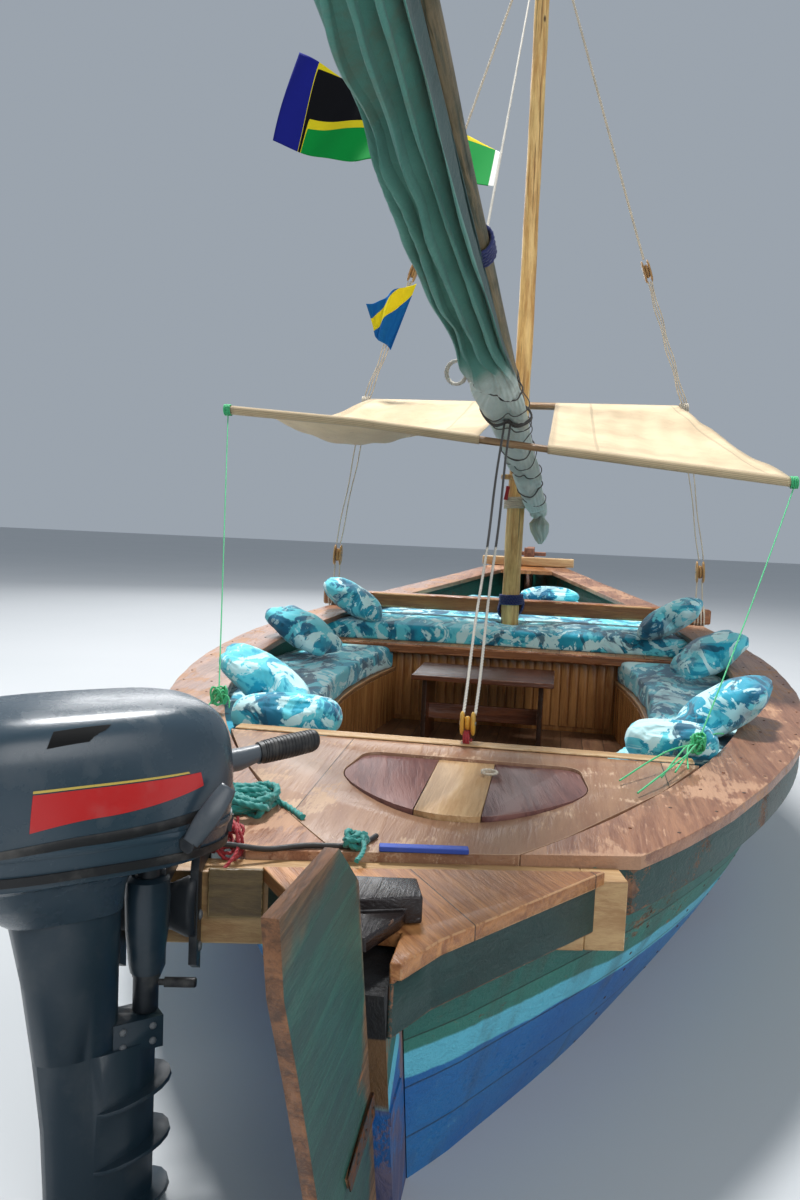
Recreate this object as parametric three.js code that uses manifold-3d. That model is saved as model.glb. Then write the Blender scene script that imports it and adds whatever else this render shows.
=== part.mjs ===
// A small sewn-rig dhow: an open wooden sailing boat with a pointed stern, one
// pole mast, a lateen yard lowered aft as a boom with the sail furled round it,
// an awning on two poles, cushioned benches and an outboard motor on a beam.
// Millimetres. The origin lies on the waterline at mid-length of the rail,
// +X to starboard, +Y to the bow, +Z up.

import * as THREE from 'three';
import { mergeVertices } from 'three/addons/utils/BufferGeometryUtils.js';
import Module from 'manifold-3d';

const wasm = await Module();
wasm.setup();

// Driving dimensions
const GAP = 0.3;                 // between pieces that touch
const LENGTH = 7700;             // along the rail
const POST_HALF = 35;            // half thickness of keel, stem and sternpost
const PLANK = 28;                // hull planking
const FLARE = 0.2;               // share of the section that is a straight flare
const HEEL_AFT = -3470;          // where the planking meets the keel, aft
const HEEL_FORE = 2750;          // and forward
const KEEL_BOTTOM = -525;

// Rail and section along the boat
//  share of length, half width, rail height, rabbet height, roundness
const HULL = [
  [0.00, 60, 603, -400, 1.50],
  [0.10, 642, 640, -410, 1.55],
  [0.22, 1048, 678, -420, 1.90],
  [0.36, 1200, 722, -425, 2.40],
  [0.50, 1125, 764, -425, 2.50],
  [0.65, 919, 812, -420, 2.20],
  [0.82, 530, 900, -410, 1.70],
  [1.00, 52, 1025, -390, 1.40],
];

const RAIL = { inward: 165, outward: 48, thick: 30 };
const STRAKE = { deep: 100, proud: 34 };
const DECK_EDGE = -2640;         // forward edge of the aft deck
const STERN_TIP = { x: 8, y: -3960 };   // where the stern boards' outer edges meet the post
const HATCH = { x: 55, y: -2978, halfLong: 325, halfWide: 300, clear: 3, lipHalf: [195, 90], lipDeep: 26 };
const BEARER = { half: 30, deep: 50, post: 50, reach: 60 };
const BEAM = { y: -3530, x: -20, turn: 12, port: -640, starboard: 385, wide: 80, top: 600, deep: 150 };
const SOLE = { top: 200, thick: 26 };
const WELL_FORE = -120;          // forward end of the cockpit
const BENCH = { top: 500, thick: 24, deep: 440, board: 22, most: 700 };
const SLAT = { count: 25, wide: 38, proud: 12 };
const PLATFORM = { top: 640, thick: 26, fore: 2450 };
const BOW = {
  deckAft: 2900, deckFore: 3700, beamY: 3180, half: 400, beamHalf: 40, beamTall: 76, postY: 3430, postHalf: 45,
  postTall: 130, pinHalf: [150, 22], pinFrom: 60, pinTo: 95,
};
const MAST = {
  step: -364.8, y: 350, foot: 56, head: 38, top: 4950, hounds: 4700, houndsHalf: 25, houndsProud: 15,
};
const CROSSBEAM = { half: 1166, deep: 88, wide: 96 };
const POLE = { foreY: 418, foreZ: 2030, foreHalf: 950, aftY: -1430, radius: 19, aftRadius: 17 };
const SHROUD = {
  radius: 8,
  path: [[62, 350, 4690], [936, 390, 2030], [1092, 440, 1090]],
  blockHalf: [24, 32, 62],       // of the block at the lanyard's head
  foot: [1100, 451],             // where the lanyard meets the crossbeam
  footHalf: 26,
  footTall: 16,
};
const AWNING = {
  lift: 0.9, thick: 4, fore: 905, aft: 1150, rim: 30, slit: [-80, 240], band: 22, sagPort: 110,
  sagStarboard: 40,
};
const AFT_POLE = [[-1180, 1762], [-600, 1722], [0, 1655], [560, 1595], [1180, 1530]];
const HINGE = { x: 130, y: 300, z: 1450 };
const YARD = { rise: 0.22, sway: -0.0444, aft: 6900, heel: 170, thick: 40, thin: 30 };
const PARREL = { wall: 20, tall: 70, arm: 17 };   // collar on the mast that carries the yard
const SAIL_CLEAR = 0.8;          // between the furled cloth and the yard
const SAIL_THICK = 18;           // of the cloth at the edges of the roll
// The furled sail: distance aft of the hinge, folds below and to port, and
// the angles round the yard from which and to which the cloth reaches
const SAIL = [
  [70, 20, 10, 70, 350], [300, 34, 22, 73, 347], [900, 44, 40, 80, 340], [1500, 50, 60, 89, 331],
  [2100, 60, 110, 98, 322], [2900, 70, 150, 108, 312], [3900, 72, 160, 118, 302],
  [5000, 64, 140, 125, 295], [6000, 50, 110, 128, 292], [6500, 30, 60, 130, 290],
];
const SAIL_HEEL = [[-185, 14, 0, 215, 325], [85, 20, 0, 215, 325]];
// The cloth's tail that hangs from the heel: height, across, along, place of its middle
const SAIL_TAIL = [
  [1366, 34, 60, 140, 415], [1335, 62, 74, 142, 420], [1285, 56, 60, 146, 434], [1240, 34, 40, 150, 446],
  [1210, 10, 14, 152, 452],
];
const RAKE = 0.408;              // of the sternpost, aft per height
const RUDDER = {
  y: -3937, z: 350, half: 10, aftGap: 12, postGap: 24, hangers: [318, -180], pin: 5, eye: 9,
};
// Stepped head of the sternpost: plan of each step and its height above the rail
const HEAD = {
  fore: -3724,
  upper: { plan: [[-87, -3745], [43, -3724], [67, -3811], [-66, -3861]], rise: 50 },
  lower: { plan: [[-80, -3760], [50, -3750], [34, -3850], [-6, -3953], [-44, -3953], [-66, -3861]], rise: 27 },
};
const PAD = {
  aft: -2545, fore: -170, thick: 110, platformAft: -90, platformFore: 2390, platformThick: 90, mastClear: 12,
};
// Pillows and bolsters: name, place, height they settle from, long, wide, thick, yaw, roll
const PILLOWS = [
  ['bolster_port', -575, -2445, 700, 350, 170, 125, 6, 0],
  ['bolster_starboard', 640, -2445, 700, 270, 170, 120, -4, 0],
  ['pillow_port_aft', -745, -2130, 900, 350, 340, 120, 14, 32],
  ['pillow_port_middle', -955, -830, 900, 350, 310, 115, -12, 30],
  ['pillow_port_fore', -900, 60, 1000, 370, 390, 125, 10, 30],
  ['pillow_starboard_aft', 845, -2070, 900, 330, 340, 120, -16, -34],
  ['pillow_starboard_middle', 970, -880, 900, 320, 310, 120, 10, -34],
  ['pillow_starboard_fore', 885, -40, 1000, 350, 380, 120, -12, -32],
  ['pillow_bow', 215, 2060, 900, 400, 240, 120, 24, 0],
];
const TABLE = { plan: [-420, 280, -760, -300], top: 560 };
const MOTOR = {
  along: -480, reach: 168, heading: 48, cheek: 82, tiltY: -34, tiltZ: 645, tubeLow: 380, tubeHigh: 655,
  fins: [240, 130, 20], plate: -70, shaft: -205,
};
// Cowl, pan and leg: height, front, aft, half width, tilt of the section
const COWL = [
  [722, 128, -395, 158], [790, 138, -408, 166], [880, 136, -404, 164], [940, 118, -380, 150],
  [972, 80, -330, 118], [984, 30, -260, 70],
];
const PAN = [
  [600, -52, -262, 64], [650, -52, -330, 100], [693, -40, -372, 128], [702, 96, -386, 150],
  [721.5, 124, -392, 155],
];
const LEG_UPPER = [[599.5, -52, -250, 60], [480, -54, -226, 50], [330, -54, -205, 42]];
const LEG_LOWER = [[331, 20, -205, 42], [200, 20, -190, 38], [40, 20, -182, 35], [-70, 16, -180, 32],
  [-140, 12, -160, 24], [-200, 16, -150, 24]];
// Gearcase: place along the shaft and radius
const GEARCASE = [[78, 4], [60, 20], [10, 36], [-60, 40], [-140, 37], [-200, 30]];
// Propeller: blade radius, chord and pitch angle
const PROP = { hub: 90, front: 30, back: 24, blade: [[18, 50, 62], [60, 84, 48], [95, 80, 38], [120, 34, 32]] };
// Tiller: place in the motor's frame and radius
const TILLER = [[0, 137.9, 838, 24], [0, 150, 838, 24], [0, 180, 842, 22], [0, 215, 850, 17], [0, 216, 850, 23], [0, 345, 866, 21]];

// Fuel hose from the clamp's cheek over the deck: places in X and Y, and the
// height above the deck's surface that its middle has at each
const HOSE = {
  radius: 6,
  steps: 34,
  route: [
    [-411, -3603, 26], [-396, -3600, 26], [-378, -3596, 25], [-358, -3589, 22], [-336, -3580, 17],
    [-312, -3568, 11], [-288, -3553, 7], [-262, -3536, 6.3], [-236, -3521, 6.3], [-208, -3511, 6.3],
    [-180, -3506, 6.3], [-152, -3500, 6.3], [-128, -3488, 6.3], [-110, -3470, 6.3], [-98, -3448, 6.3],
    [-90, -3424, 6.3],
  ],
};

// Shape helpers
const V = (x, y, z) => new THREE.Vector3(x, y, z);
const deg = THREE.MathUtils.degToRad;
const mix = THREE.MathUtils.lerp;

function along(table, column, s) {
  // A smooth curve through one column of a table, by its first column
  let i = 0;
  while (i < table.length - 2 && s > table[i + 1][0]) i += 1;
  const slope = (k) => {
    const a = table[Math.max(k - 1, 0)];
    const b = table[Math.min(k + 1, table.length - 1)];
    return (b[column] - a[column]) / (b[0] - a[0]);
  };
  const [p, q] = [table[i], table[i + 1]];
  const span = q[0] - p[0];
  const t = (s - p[0]) / span;
  const t2 = t * t;
  const t3 = t2 * t;
  return p[column] * (2 * t3 - 3 * t2 + 1) + slope(i) * span * (t3 - 2 * t2 + t)
    + q[column] * (3 * t2 - 2 * t3) + slope(i + 1) * span * (t3 - t2);
}

function closedMesh(points, faces) {
  const geometry = new THREE.BufferGeometry();
  const flat = new Float32Array(points.flatMap((p) => [p.x, p.y, p.z]));
  geometry.setAttribute('position', new THREE.BufferAttribute(flat, 3));
  geometry.setIndex(faces.flat());
  const volume = faces.reduce((sum, [a, b, c]) => (
    sum + points[a].dot(points[b].clone().cross(points[c]))), 0);
  if (volume < 0) geometry.setIndex(faces.flatMap(([a, b, c]) => [a, c, b]));
  return geometry;
}

function capFaces(count, first) {
  // An end closed by a ladder of triangles between the ring's two sides
  const faces = [];
  for (let [low, high] = [0, count - 1]; high - low > 1; low += 1, high -= 1) {
    faces.push([low, low + 1, high]);
    if (high - low > 2) faces.push([low + 1, high - 1, high]);
  }
  return faces.map((face) => face.map((k) => k + first));
}

function loft(rings) {
  // A closed solid through rings of equal point counts
  const n = rings[0].length;
  const faces = [];
  for (let i = 0; i < rings.length - 1; i += 1) {
    for (let j = 0; j < n; j += 1) {
      const a = i * n + j;
      const b = i * n + ((j + 1) % n);
      faces.push([a, b, b + n], [a, b + n, a + n]);
    }
  }
  capFaces(n, 0).forEach(([a, b, c]) => faces.push([a, c, b]));
  faces.push(...capFaces(n, (rings.length - 1) * n));
  return closedMesh(rings.flat(), faces);
}

function shapeOf(points) {
  return new THREE.Shape(points.map(([u, v]) => new THREE.Vector2(u, v)));
}

function upright(points, bottom, top, holes = []) {
  // A plan outline in X and Y, standing from bottom to top
  const shape = shapeOf(points);
  holes.forEach((hole) => shape.holes.push(new THREE.Path(hole.map(([u, v]) => (
    new THREE.Vector2(u, v))))));
  const body = new THREE.ExtrudeGeometry(shape, { depth: top - bottom, bevelEnabled: false });
  return body.translate(0, 0, bottom);
}

function sideways(points, left, right) {
  // A side outline in Y and Z, thick from left to right
  const body = new THREE.ExtrudeGeometry(shapeOf(points), { depth: right - left, bevelEnabled: false });
  body.applyMatrix4(new THREE.Matrix4().makeBasis(V(0, 1, 0), V(0, 0, 1), V(1, 0, 0)));
  return body.translate(left, 0, 0);
}

function block(x0, x1, y0, y1, z0, z1) {
  return new THREE.BoxGeometry(x1 - x0, y1 - y0, z1 - z0)
    .translate((x0 + x1) / 2, (y0 + y1) / 2, (z0 + z1) / 2);
}

function spar(points, radii, sides) {
  // A round pole through the points, its radius given at each
  const path = points.map((p) => V(...p));
  const rings = path.map((p, i) => {
    const ahead = path[Math.min(i + 1, path.length - 1)].clone()
      .sub(path[Math.max(i - 1, 0)]).normalize();
    const side = Math.abs(ahead.z) > 0.9 ? V(1, 0, 0) : V(0, 0, 1);
    const u = ahead.clone().cross(side).normalize();
    const v = ahead.clone().cross(u);
    return Array.from({ length: sides }, (_, k) => {
      const a = (2 * Math.PI * k) / sides;
      return p.clone().addScaledVector(u, radii[i] * Math.cos(a)).addScaledVector(v, radii[i] * Math.sin(a));
    });
  });
  return loft(rings);
}

function pin(x, y, z, axis, radius, long, sides = 16) {
  // A round pin centred on a point, along X, Y or Z
  const half = { x: [long / 2, 0, 0], y: [0, long / 2, 0], z: [0, 0, long / 2] }[axis];
  const ends = [-1, 1].map((k) => [x + k * half[0], y + k * half[1], z + k * half[2]]);
  return spar(ends, [radius, radius], sides);
}

function solid(geometry) {
  const plain = geometry.clone();
  Object.keys(plain.attributes).filter((name) => name !== 'position')
    .forEach((name) => plain.deleteAttribute(name));
  const merged = mergeVertices(plain, 0.001);
  return new wasm.Manifold(new wasm.Mesh({
    numProp: 3,
    vertProperties: new Float32Array(merged.attributes.position.array),
    triVerts: new Uint32Array(merged.index.array),
  }));
}

function shaped(manifold) {
  const mesh = manifold.getMesh();
  const geometry = new THREE.BufferGeometry();
  geometry.setAttribute('position', new THREE.BufferAttribute(new Float32Array(mesh.vertProperties), 3));
  geometry.setIndex(new THREE.BufferAttribute(new Uint32Array(mesh.triVerts), 1));
  return geometry;
}

const joined = (...pieces) => shaped(pieces.map(solid).reduce((a, b) => a.add(b)));
const cutBy = (piece, ...tools) => shaped(tools.map(solid).reduce((a, b) => a.subtract(b), solid(piece)));

// The model and its materials
const model = new THREE.Group();
const finishes = {
  rail: ['#8a4a33', 0.7, 0],
  deck: ['#9a6a4a', 0.75, 0],
  varnish: ['#8c4a22', 0.45, 0],
  pine: ['#d9a566', 0.6, 0],
  topsides: ['#2f6a55', 0.75, 0],
  bottom: ['#1b62a8', 0.7, 0],
  strake: ['#1d4a44', 0.7, 0],
  black: ['#1c2226', 0.5, 0],
  mastwood: ['#b9894e', 0.65, 0],
  yardwood: ['#6b6350', 0.8, 0],
  sailcloth: ['#9fc4b8', 0.9, 0],
  canvas: ['#d9c49a', 0.9, 0],
  rope: ['#cfc3a3', 0.9, 0],
  cushion: ['#2389a8', 0.9, 0],
  cowl: ['#3d4c5a', 0.35, 0.2],
  dark: ['#20262c', 0.5, 0.3],
  leg: ['#32404d', 0.4, 0.3],
};

function add(name, finish, geometry) {
  const [color, roughness, metalness] = finishes[finish];
  const mesh = new THREE.Mesh(geometry, new THREE.MeshStandardMaterial({ color, roughness, metalness }));
  mesh.name = name;
  model.add(mesh);
  return mesh;
}

const SIDES = [['port', -1], ['starboard', 1]];
const mirrored = (points, side) => points.map(([x, y]) => [x * side, y]);

// Hull form
function skin(s, angle) {
  // A point on the outer face of the starboard planking: s runs from stern
  // to bow, and the angle from 0 at the keel to 90 degrees at the rail
  const half = along(HULL, 1, s);
  const rail = along(HULL, 2, s) - RAIL.thick;
  const rabbet = along(HULL, 3, s);
  const power = 2 / along(HULL, 4, s);
  const rise = 1 - Math.cos(angle) ** power;
  const spread = (1 - FLARE) * Math.sin(angle) ** power + FLARE * rise;
  return V(
    POST_HALF + GAP + (half - POST_HALF - GAP) * spread,
    mix(mix(HEEL_AFT, HEEL_FORE, s), mix(-LENGTH / 2, LENGTH / 2, s), rise),
    mix(rabbet, rail, rise),
  );
}

function lining(s, angle, depth = PLANK) {
  // The inner face of the planking, one plank thickness in
  const step = 0.004;
  const here = skin(s, angle);
  const foot = skin(s, Math.max(angle - step * 4, 0.02));
  const head = skin(s, Math.min(angle + step * 4, Math.PI / 2));
  const back = skin(Math.max(s - step, 0), angle);
  const fore = skin(Math.min(s + step, 1), angle);
  const out = fore.sub(back).cross(head.sub(foot)).normalize();
  const inner = here.clone().addScaledVector(out, out.x > 0 ? -depth : depth);
  inner.x = Math.max(inner.x, POST_HALF + GAP);
  return inner;
}

const QUARTER = Math.PI / 2;
const share = (y) => (y + LENGTH / 2) / LENGTH;

function search(low, high, falls) {
  // The point between low and high where falls() turns true
  let [a, b] = [low, high];
  for (let i = 0; i < 26; i += 1) {
    const middle = (a + b) / 2;
    if (falls(middle)) b = middle; else a = middle;
  }
  return (a + b) / 2;
}

function inside(y, z) {
  // The half width inside the planking at a place along the boat and a height
  const angleAt = (s) => search(0.02, QUARTER, (angle) => lining(s, angle).z > z);
  const s = search(0, 1, (value) => lining(value, angleAt(value)).y > y);
  return lining(s, angleAt(s)).x;
}

const railTop = (y) => along(HULL, 2, share(y));
const railHalf = (y) => along(HULL, 1, share(y));

// The beam that carries the motor crosses the stern a little askew
const turnBeam = (geometry) => geometry.rotateZ(deg(BEAM.turn)).translate(BEAM.x, BEAM.y, 0);
const beamNotch = () => turnBeam(block(
  BEAM.port * 2, BEAM.starboard * 2, -BEAM.wide / 2 - GAP, BEAM.wide / 2 + GAP,
  BEAM.top - BEAM.deep - GAP, BEAM.top + 200));
const aftOfBeam = () => turnBeam(block(-1500, 1500, -1500, BEAM.wide / 2 + GAP, 0, 1500));
const foreOfBeam = () => turnBeam(block(-1500, 1500, -BEAM.wide / 2 - GAP, 9000, 0, 1500));

// Planking
const STATIONS = [0, 0.03, 0.07, 0.12, 0.18, 0.25, 0.32, 0.4, 0.48, 0.56, 0.64, 0.71, 0.78, 0.84, 0.9, 0.95, 1];
const ANGLES = [0, 8, 18, 30, 42, 54, 66, 78, 90].map(deg);

function planking(side) {
  const rings = STATIONS.map((s) => {
    const outer = ANGLES.map((angle) => skin(s, angle));
    const inner = ANGLES.map((angle) => lining(s, angle));
    inner[inner.length - 1].z = outer[outer.length - 1].z;
    inner[inner.length - 1].y = outer[outer.length - 1].y;
    inner[0].set(POST_HALF + GAP, outer[0].y, outer[0].z + PLANK);
    return [...outer, ...inner.reverse()].map((p) => V(p.x * side, p.y, p.z - (p.z > 500 ? GAP : 0)));
  });
  return cutBy(loft(rings), beamNotch());
}

SIDES.forEach(([name, side]) => add(`planking_${name}`, 'topsides', planking(side)));

function hollow(clear) {
  // The space inside the planking, whose facets follow the planking's own
  const halves = SIDES.map(([, side]) => solid(loft(STATIONS.map((s) => {
    const inner = ANGLES.map((angle) => lining(s, angle, PLANK + clear));
    const [foot, head] = [skin(s, 0), skin(s, QUARTER)];
    inner[ANGLES.length - 1].z = head.z;
    inner[ANGLES.length - 1].y = head.y;
    inner[0].set(POST_HALF + clear, foot.y, foot.z + PLANK + clear);
    inner.forEach((p) => { p.x = Math.max(p.x, POST_HALF + clear); });
    return [...inner.reverse(), V(-5, foot.y, foot.z), V(-5, head.y, head.z)]
      .map((p) => V(p.x * side, p.y, p.z));
  }))));
  return halves[0].add(halves[1]);
}

const woodSpace = hollow(0.6);
const padSpace = hollow(8);
const fitted = (geometry, space = woodSpace) => shaped(solid(geometry).intersect(space));

// Keel, stem and sternpost
const postAft = (z) => RUDDER.y + RUDDER.postGap - RAKE * (z - RUDDER.z);
const stemFore = (z) => mix(HEEL_FORE, LENGTH / 2, (z + 390) / (1025 + 390)) + 90;

add('keel', 'bottom', sideways([
  [-3360, KEEL_BOTTOM], [2640, KEEL_BOTTOM], [2640, -330], [2300, -352], [0, -368],
  [-3100, -352], [-3360, -340],
], -POST_HALF, POST_HALF));

const sternpostSide = sideways([
  [-3360 - GAP, KEEL_BOTTOM], [-3360 - GAP, -200], [-3640, 565], [postAft(565), 565],
  [postAft(KEEL_BOTTOM), KEEL_BOTTOM],
], -POST_HALF, POST_HALF);

add('stem', 'rail', sideways([
  [2640 + GAP, KEEL_BOTTOM], [stemFore(KEEL_BOTTOM) - 20, KEEL_BOTTOM],
  [stemFore(-300), -300], [stemFore(300) + 22, 300], [stemFore(800) + 14, 800],
  [stemFore(1050), 1050], [stemFore(1120) - 30, 1120], [3790, 1120], [3640, 900], [2760, -220],
  [2640 + GAP, -300],
], -POST_HALF, POST_HALF));

// Cap rails and rubbing strakes
function sweep(side, section) {
  const rings = STATIONS.map((s) => {
    const edge = skin(s, QUARTER);
    return section(edge).map(([x, z]) => V(x * side, edge.y, z));
  });
  return loft(rings);
}

function railSection(edge, grow = 0) {
  const inner = Math.max(edge.x - RAIL.inward, POST_HALF + GAP) - grow;
  const outer = edge.x + RAIL.outward;
  return [
    [inner, edge.z - grow], [outer, edge.z - grow],
    [outer, edge.z + RAIL.thick + grow], [inner, edge.z + RAIL.thick + grow],
  ];
}

function strakeSection(edge, above = -GAP) {
  const outer = edge.x + STRAKE.proud;
  return [
    [edge.x + GAP, edge.z - STRAKE.deep], [outer, edge.z - STRAKE.deep],
    [outer, edge.z + above], [edge.x + GAP, edge.z + above],
  ];
}

SIDES.forEach(([name, side]) => {
  add(`cap_rail_${name}`, 'rail', cutBy(sweep(side, railSection), aftOfBeam()));
  add(`rubbing_strake_${name}`, 'strake', cutBy(sweep(side, strakeSection), aftOfBeam()));
});

// Stern boards aft of the beam, flush with the rails, over the strakes' aft ends
const sternEdges = STATIONS.filter((s) => s <= 0.12).map((s) => skin(s, QUARTER));
const sternRing = [V(STERN_TIP.x, STERN_TIP.y, sternEdges[0].z), ...sternEdges];
add('stern_boards', 'rail', cutBy(
  joined(
    loft(sternRing.map((edge) => (
      [[-1, 0], [1, 0], [1, RAIL.thick], [-1, RAIL.thick]].map(([k, z]) => (
        V(k * (edge.x + RAIL.outward), edge.y, edge.z + z)))))),
    ...SIDES.map(([, side]) => loft(sternRing.map((edge) => (
      strakeSection(edge, 1).map(([x, z]) => V(x * side, edge.y, z)))))),
  ),
  foreOfBeam(),
  sideways([[-4300, 0], [-3840, 0], [-3840, 2000], [-4300, 2000]], -POST_HALF - GAP, POST_HALF + GAP),
));

// Aft deck between the cap rails, and the hatch that lifts out of it
const deckTop = railTop;
const deckEdge = (y) => railHalf(y) - RAIL.inward - 2 * GAP;

function hatchShape(shrink) {
  const steps = 14;
  const half = HATCH.halfLong - shrink;
  const wide = HATCH.halfWide - shrink;
  const rim = Array.from({ length: steps + 1 }, (_, i) => {
    const x = mix(-half, half, i / steps);
    return [HATCH.x + x, HATCH.y - wide * Math.cos((Math.PI / 2) * (x / half)) ** 0.8];
  });
  const straight = HATCH.y + 0.72 * wide;
  return [...rim, [HATCH.x + half * 0.92, straight], [HATCH.x - half * 0.92, straight]];
}

function deckPlate(aft, fore, steps) {
  return loft(Array.from({ length: steps + 1 }, (_, i) => {
    const y = mix(aft, fore, i / steps);
    const half = Math.max(deckEdge(y), 20);
    return [[-half, -RAIL.thick], [half, -RAIL.thick], [half, 0], [-half, 0]]
      .map(([x, z]) => V(x, y, deckTop(y) + z));
  }));
}

const railGrip = SIDES.map(([, side]) => sweep(side, (edge) => railSection(edge, GAP)));
add('aft_deck', 'deck', cutBy(
  deckPlate(-3750, DECK_EDGE, 9), aftOfBeam(), upright(hatchShape(-HATCH.clear), 300, 1200), ...railGrip,
));

const hatchTop = deckTop(HATCH.y);
const [lipLong, lipWide] = HATCH.lipHalf;
const hatchLip = block(HATCH.x - lipLong, HATCH.x + lipLong, HATCH.y - lipWide, HATCH.y + lipWide,
  hatchTop - RAIL.thick - HATCH.lipDeep, hatchTop - RAIL.thick + 1);
add('hatch_cover', 'deck', joined(
  upright(hatchShape(0), hatchTop - RAIL.thick, hatchTop), hatchLip,
));

// Bearers that the hatch cover rests on, and the aft wall of the well
const bearerTop = hatchTop - RAIL.thick - HATCH.lipDeep - GAP;
const bearerEnd = HATCH.halfLong + BEARER.reach;
const bearer = (x0, x1, z0, z1) => block(
  HATCH.x + x0, HATCH.x + x1, HATCH.y - BEARER.half, HATCH.y + BEARER.half, z0, z1);
const deckUnder = deckTop(HATCH.y - BEARER.half) - RAIL.thick - 1;
add('hatch_bearers', 'pine', joined(
  bearer(-bearerEnd, bearerEnd, bearerTop - BEARER.deep, bearerTop),
  bearer(-bearerEnd, BEARER.post - bearerEnd, bearerTop - 1, deckUnder),
  bearer(bearerEnd - BEARER.post, bearerEnd, bearerTop - 1, deckUnder),
));

const WIDE = 1400;               // beyond the hull's sides, trimmed to the planking
const soleUnder = SOLE.top - SOLE.thick;
add('aft_wall', 'pine', fitted(block(
  -WIDE, WIDE, DECK_EDGE - 22, DECK_EDGE, SOLE.top + GAP, deckTop(DECK_EDGE - 22) - RAIL.thick - GAP)));
add('sole', 'deck', fitted(block(
  -WIDE, WIDE, DECK_EDGE - 22, WELL_FORE + 22, soleUnder, SOLE.top)));

// Benches down both sides of the well: a varnished front board and a top
const benchUnder = BENCH.top - BENCH.thick;
const benchFront = (y) => Math.min(inside(y, benchUnder) - BENCH.deep, BENCH.most);
const benchYs = Array.from({ length: 11 }, (_, i) => mix(DECK_EDGE + GAP, WELL_FORE - GAP, i / 10));

SIDES.forEach(([name, side]) => {
  const inner = benchYs.map((y) => [benchFront(y), y]);
  const outer = [[WIDE, WELL_FORE - GAP], [WIDE, DECK_EDGE + GAP]];
  add(`bench_top_${name}`, 'varnish', fitted(upright(
    mirrored([...inner, ...outer], side), benchUnder, BENCH.top)));
  const back = benchYs.map((y) => [benchFront(y) + BENCH.board, y]).reverse();
  add(`bench_front_${name}`, 'varnish', upright(
    mirrored([...inner, ...back], side), SOLE.top + GAP, benchUnder - GAP));
});

// Slatted wall at the fore end of the well, its shelf, and the fore platform
const wallTop = PLATFORM.top - PLATFORM.thick - GAP;
const wall = fitted(block(-WIDE, WIDE, WELL_FORE, WELL_FORE + 20, SOLE.top + GAP, wallTop));
const slatReach = benchFront(WELL_FORE) - SLAT.wide / 2 - 6;
const slats = Array.from({ length: SLAT.count }, (_, i) => {
  const x = mix(-slatReach, slatReach, i / (SLAT.count - 1));
  return block(x - SLAT.wide / 2, x + SLAT.wide / 2, WELL_FORE - SLAT.proud, WELL_FORE + 1,
    SOLE.top + 30, wallTop - 30);
});
add('slatted_wall', 'varnish', joined(wall, ...slats));

const mastRound = (clear) => Array.from({ length: 16 }, (_, i) => {
  const a = (2 * Math.PI * i) / 16;
  return [(MAST.foot + clear) * Math.cos(a), MAST.y + (MAST.foot + clear) * Math.sin(a)];
});
const platformPlan = [
  [-WIDE, WELL_FORE - 60], [WIDE, WELL_FORE - 60], [WIDE, PLATFORM.fore], [-WIDE, PLATFORM.fore]];
add('platform', 'deck', fitted(upright(
  platformPlan, PLATFORM.top - PLATFORM.thick, PLATFORM.top, [mastRound(GAP * 2)])));

// Bow: a small deck between the rails, a beam across them and a post
add('bow_deck', 'rail', cutBy(
  deckPlate(BOW.deckAft, BOW.deckFore, 5),
  sideways([[3600, 0], [4300, 0], [4300, 2000], [3600, 2000]], -POST_HALF - GAP, POST_HALF + GAP),
  ...railGrip,
));
const bowTop = railTop(BOW.beamY + BOW.beamHalf) + GAP;
add('bow_beam', 'pine', block(
  -BOW.half, BOW.half, BOW.beamY - BOW.beamHalf, BOW.beamY + BOW.beamHalf, bowTop, bowTop + BOW.beamTall));
const postFoot = railTop(BOW.postY + BOW.postHalf) + GAP;
const [pinLong, pinThick] = BOW.pinHalf;
add('bow_post', 'rail', joined(
  block(-BOW.postHalf, BOW.postHalf, BOW.postY - BOW.postHalf, BOW.postY + BOW.postHalf, postFoot,
    postFoot + BOW.postTall),
  block(-pinLong, pinLong, BOW.postY - pinThick, BOW.postY + pinThick, postFoot + BOW.pinFrom,
    postFoot + BOW.pinTo),
));

// Mast, stepped on the keel, and the crossbeam it is lashed to
const mastRadius = (z) => mix(MAST.foot, MAST.head, (z - MAST.step) / (MAST.top - MAST.step));
const mastPin = (low, high, grow) => spar(
  [[0, MAST.y, low], [0, MAST.y, high]], [mastRadius(low) + grow, mastRadius(high) + grow], 16);
add('mast', 'mastwood', joined(
  mastPin(MAST.step, MAST.top, 0),
  mastPin(MAST.hounds - MAST.houndsHalf, MAST.hounds + MAST.houndsHalf, MAST.houndsProud)));

// Parrel: a collar round the mast whose arm carries the yard
const parrelLow = HINGE.z - PARREL.tall / 2;
add('yard_parrel', 'rope', cutBy(
  joined(
    mastPin(parrelLow, parrelLow + PARREL.tall, PARREL.wall),
    spar([[0, HINGE.y, HINGE.z], [HINGE.x - YARD.thick - 1, HINGE.y, HINGE.z]], [PARREL.arm, PARREL.arm], 12),
  ),
  mastPin(parrelLow - PARREL.wall, parrelLow + PARREL.tall + PARREL.wall, GAP),
));

// The crossbeam lies on the cap rails, just forward of the mast
const beamY = MAST.y + mastRadius(railTop(MAST.y)) + GAP + CROSSBEAM.wide / 2;
const beamUnder = railTop(beamY + CROSSBEAM.wide / 2) + GAP;
const beamTop = beamUnder + CROSSBEAM.deep;
add('crossbeam', 'varnish', block(
  -CROSSBEAM.half, CROSSBEAM.half, beamY - CROSSBEAM.wide / 2, beamY + CROSSBEAM.wide / 2,
  beamUnder, beamTop));

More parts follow.
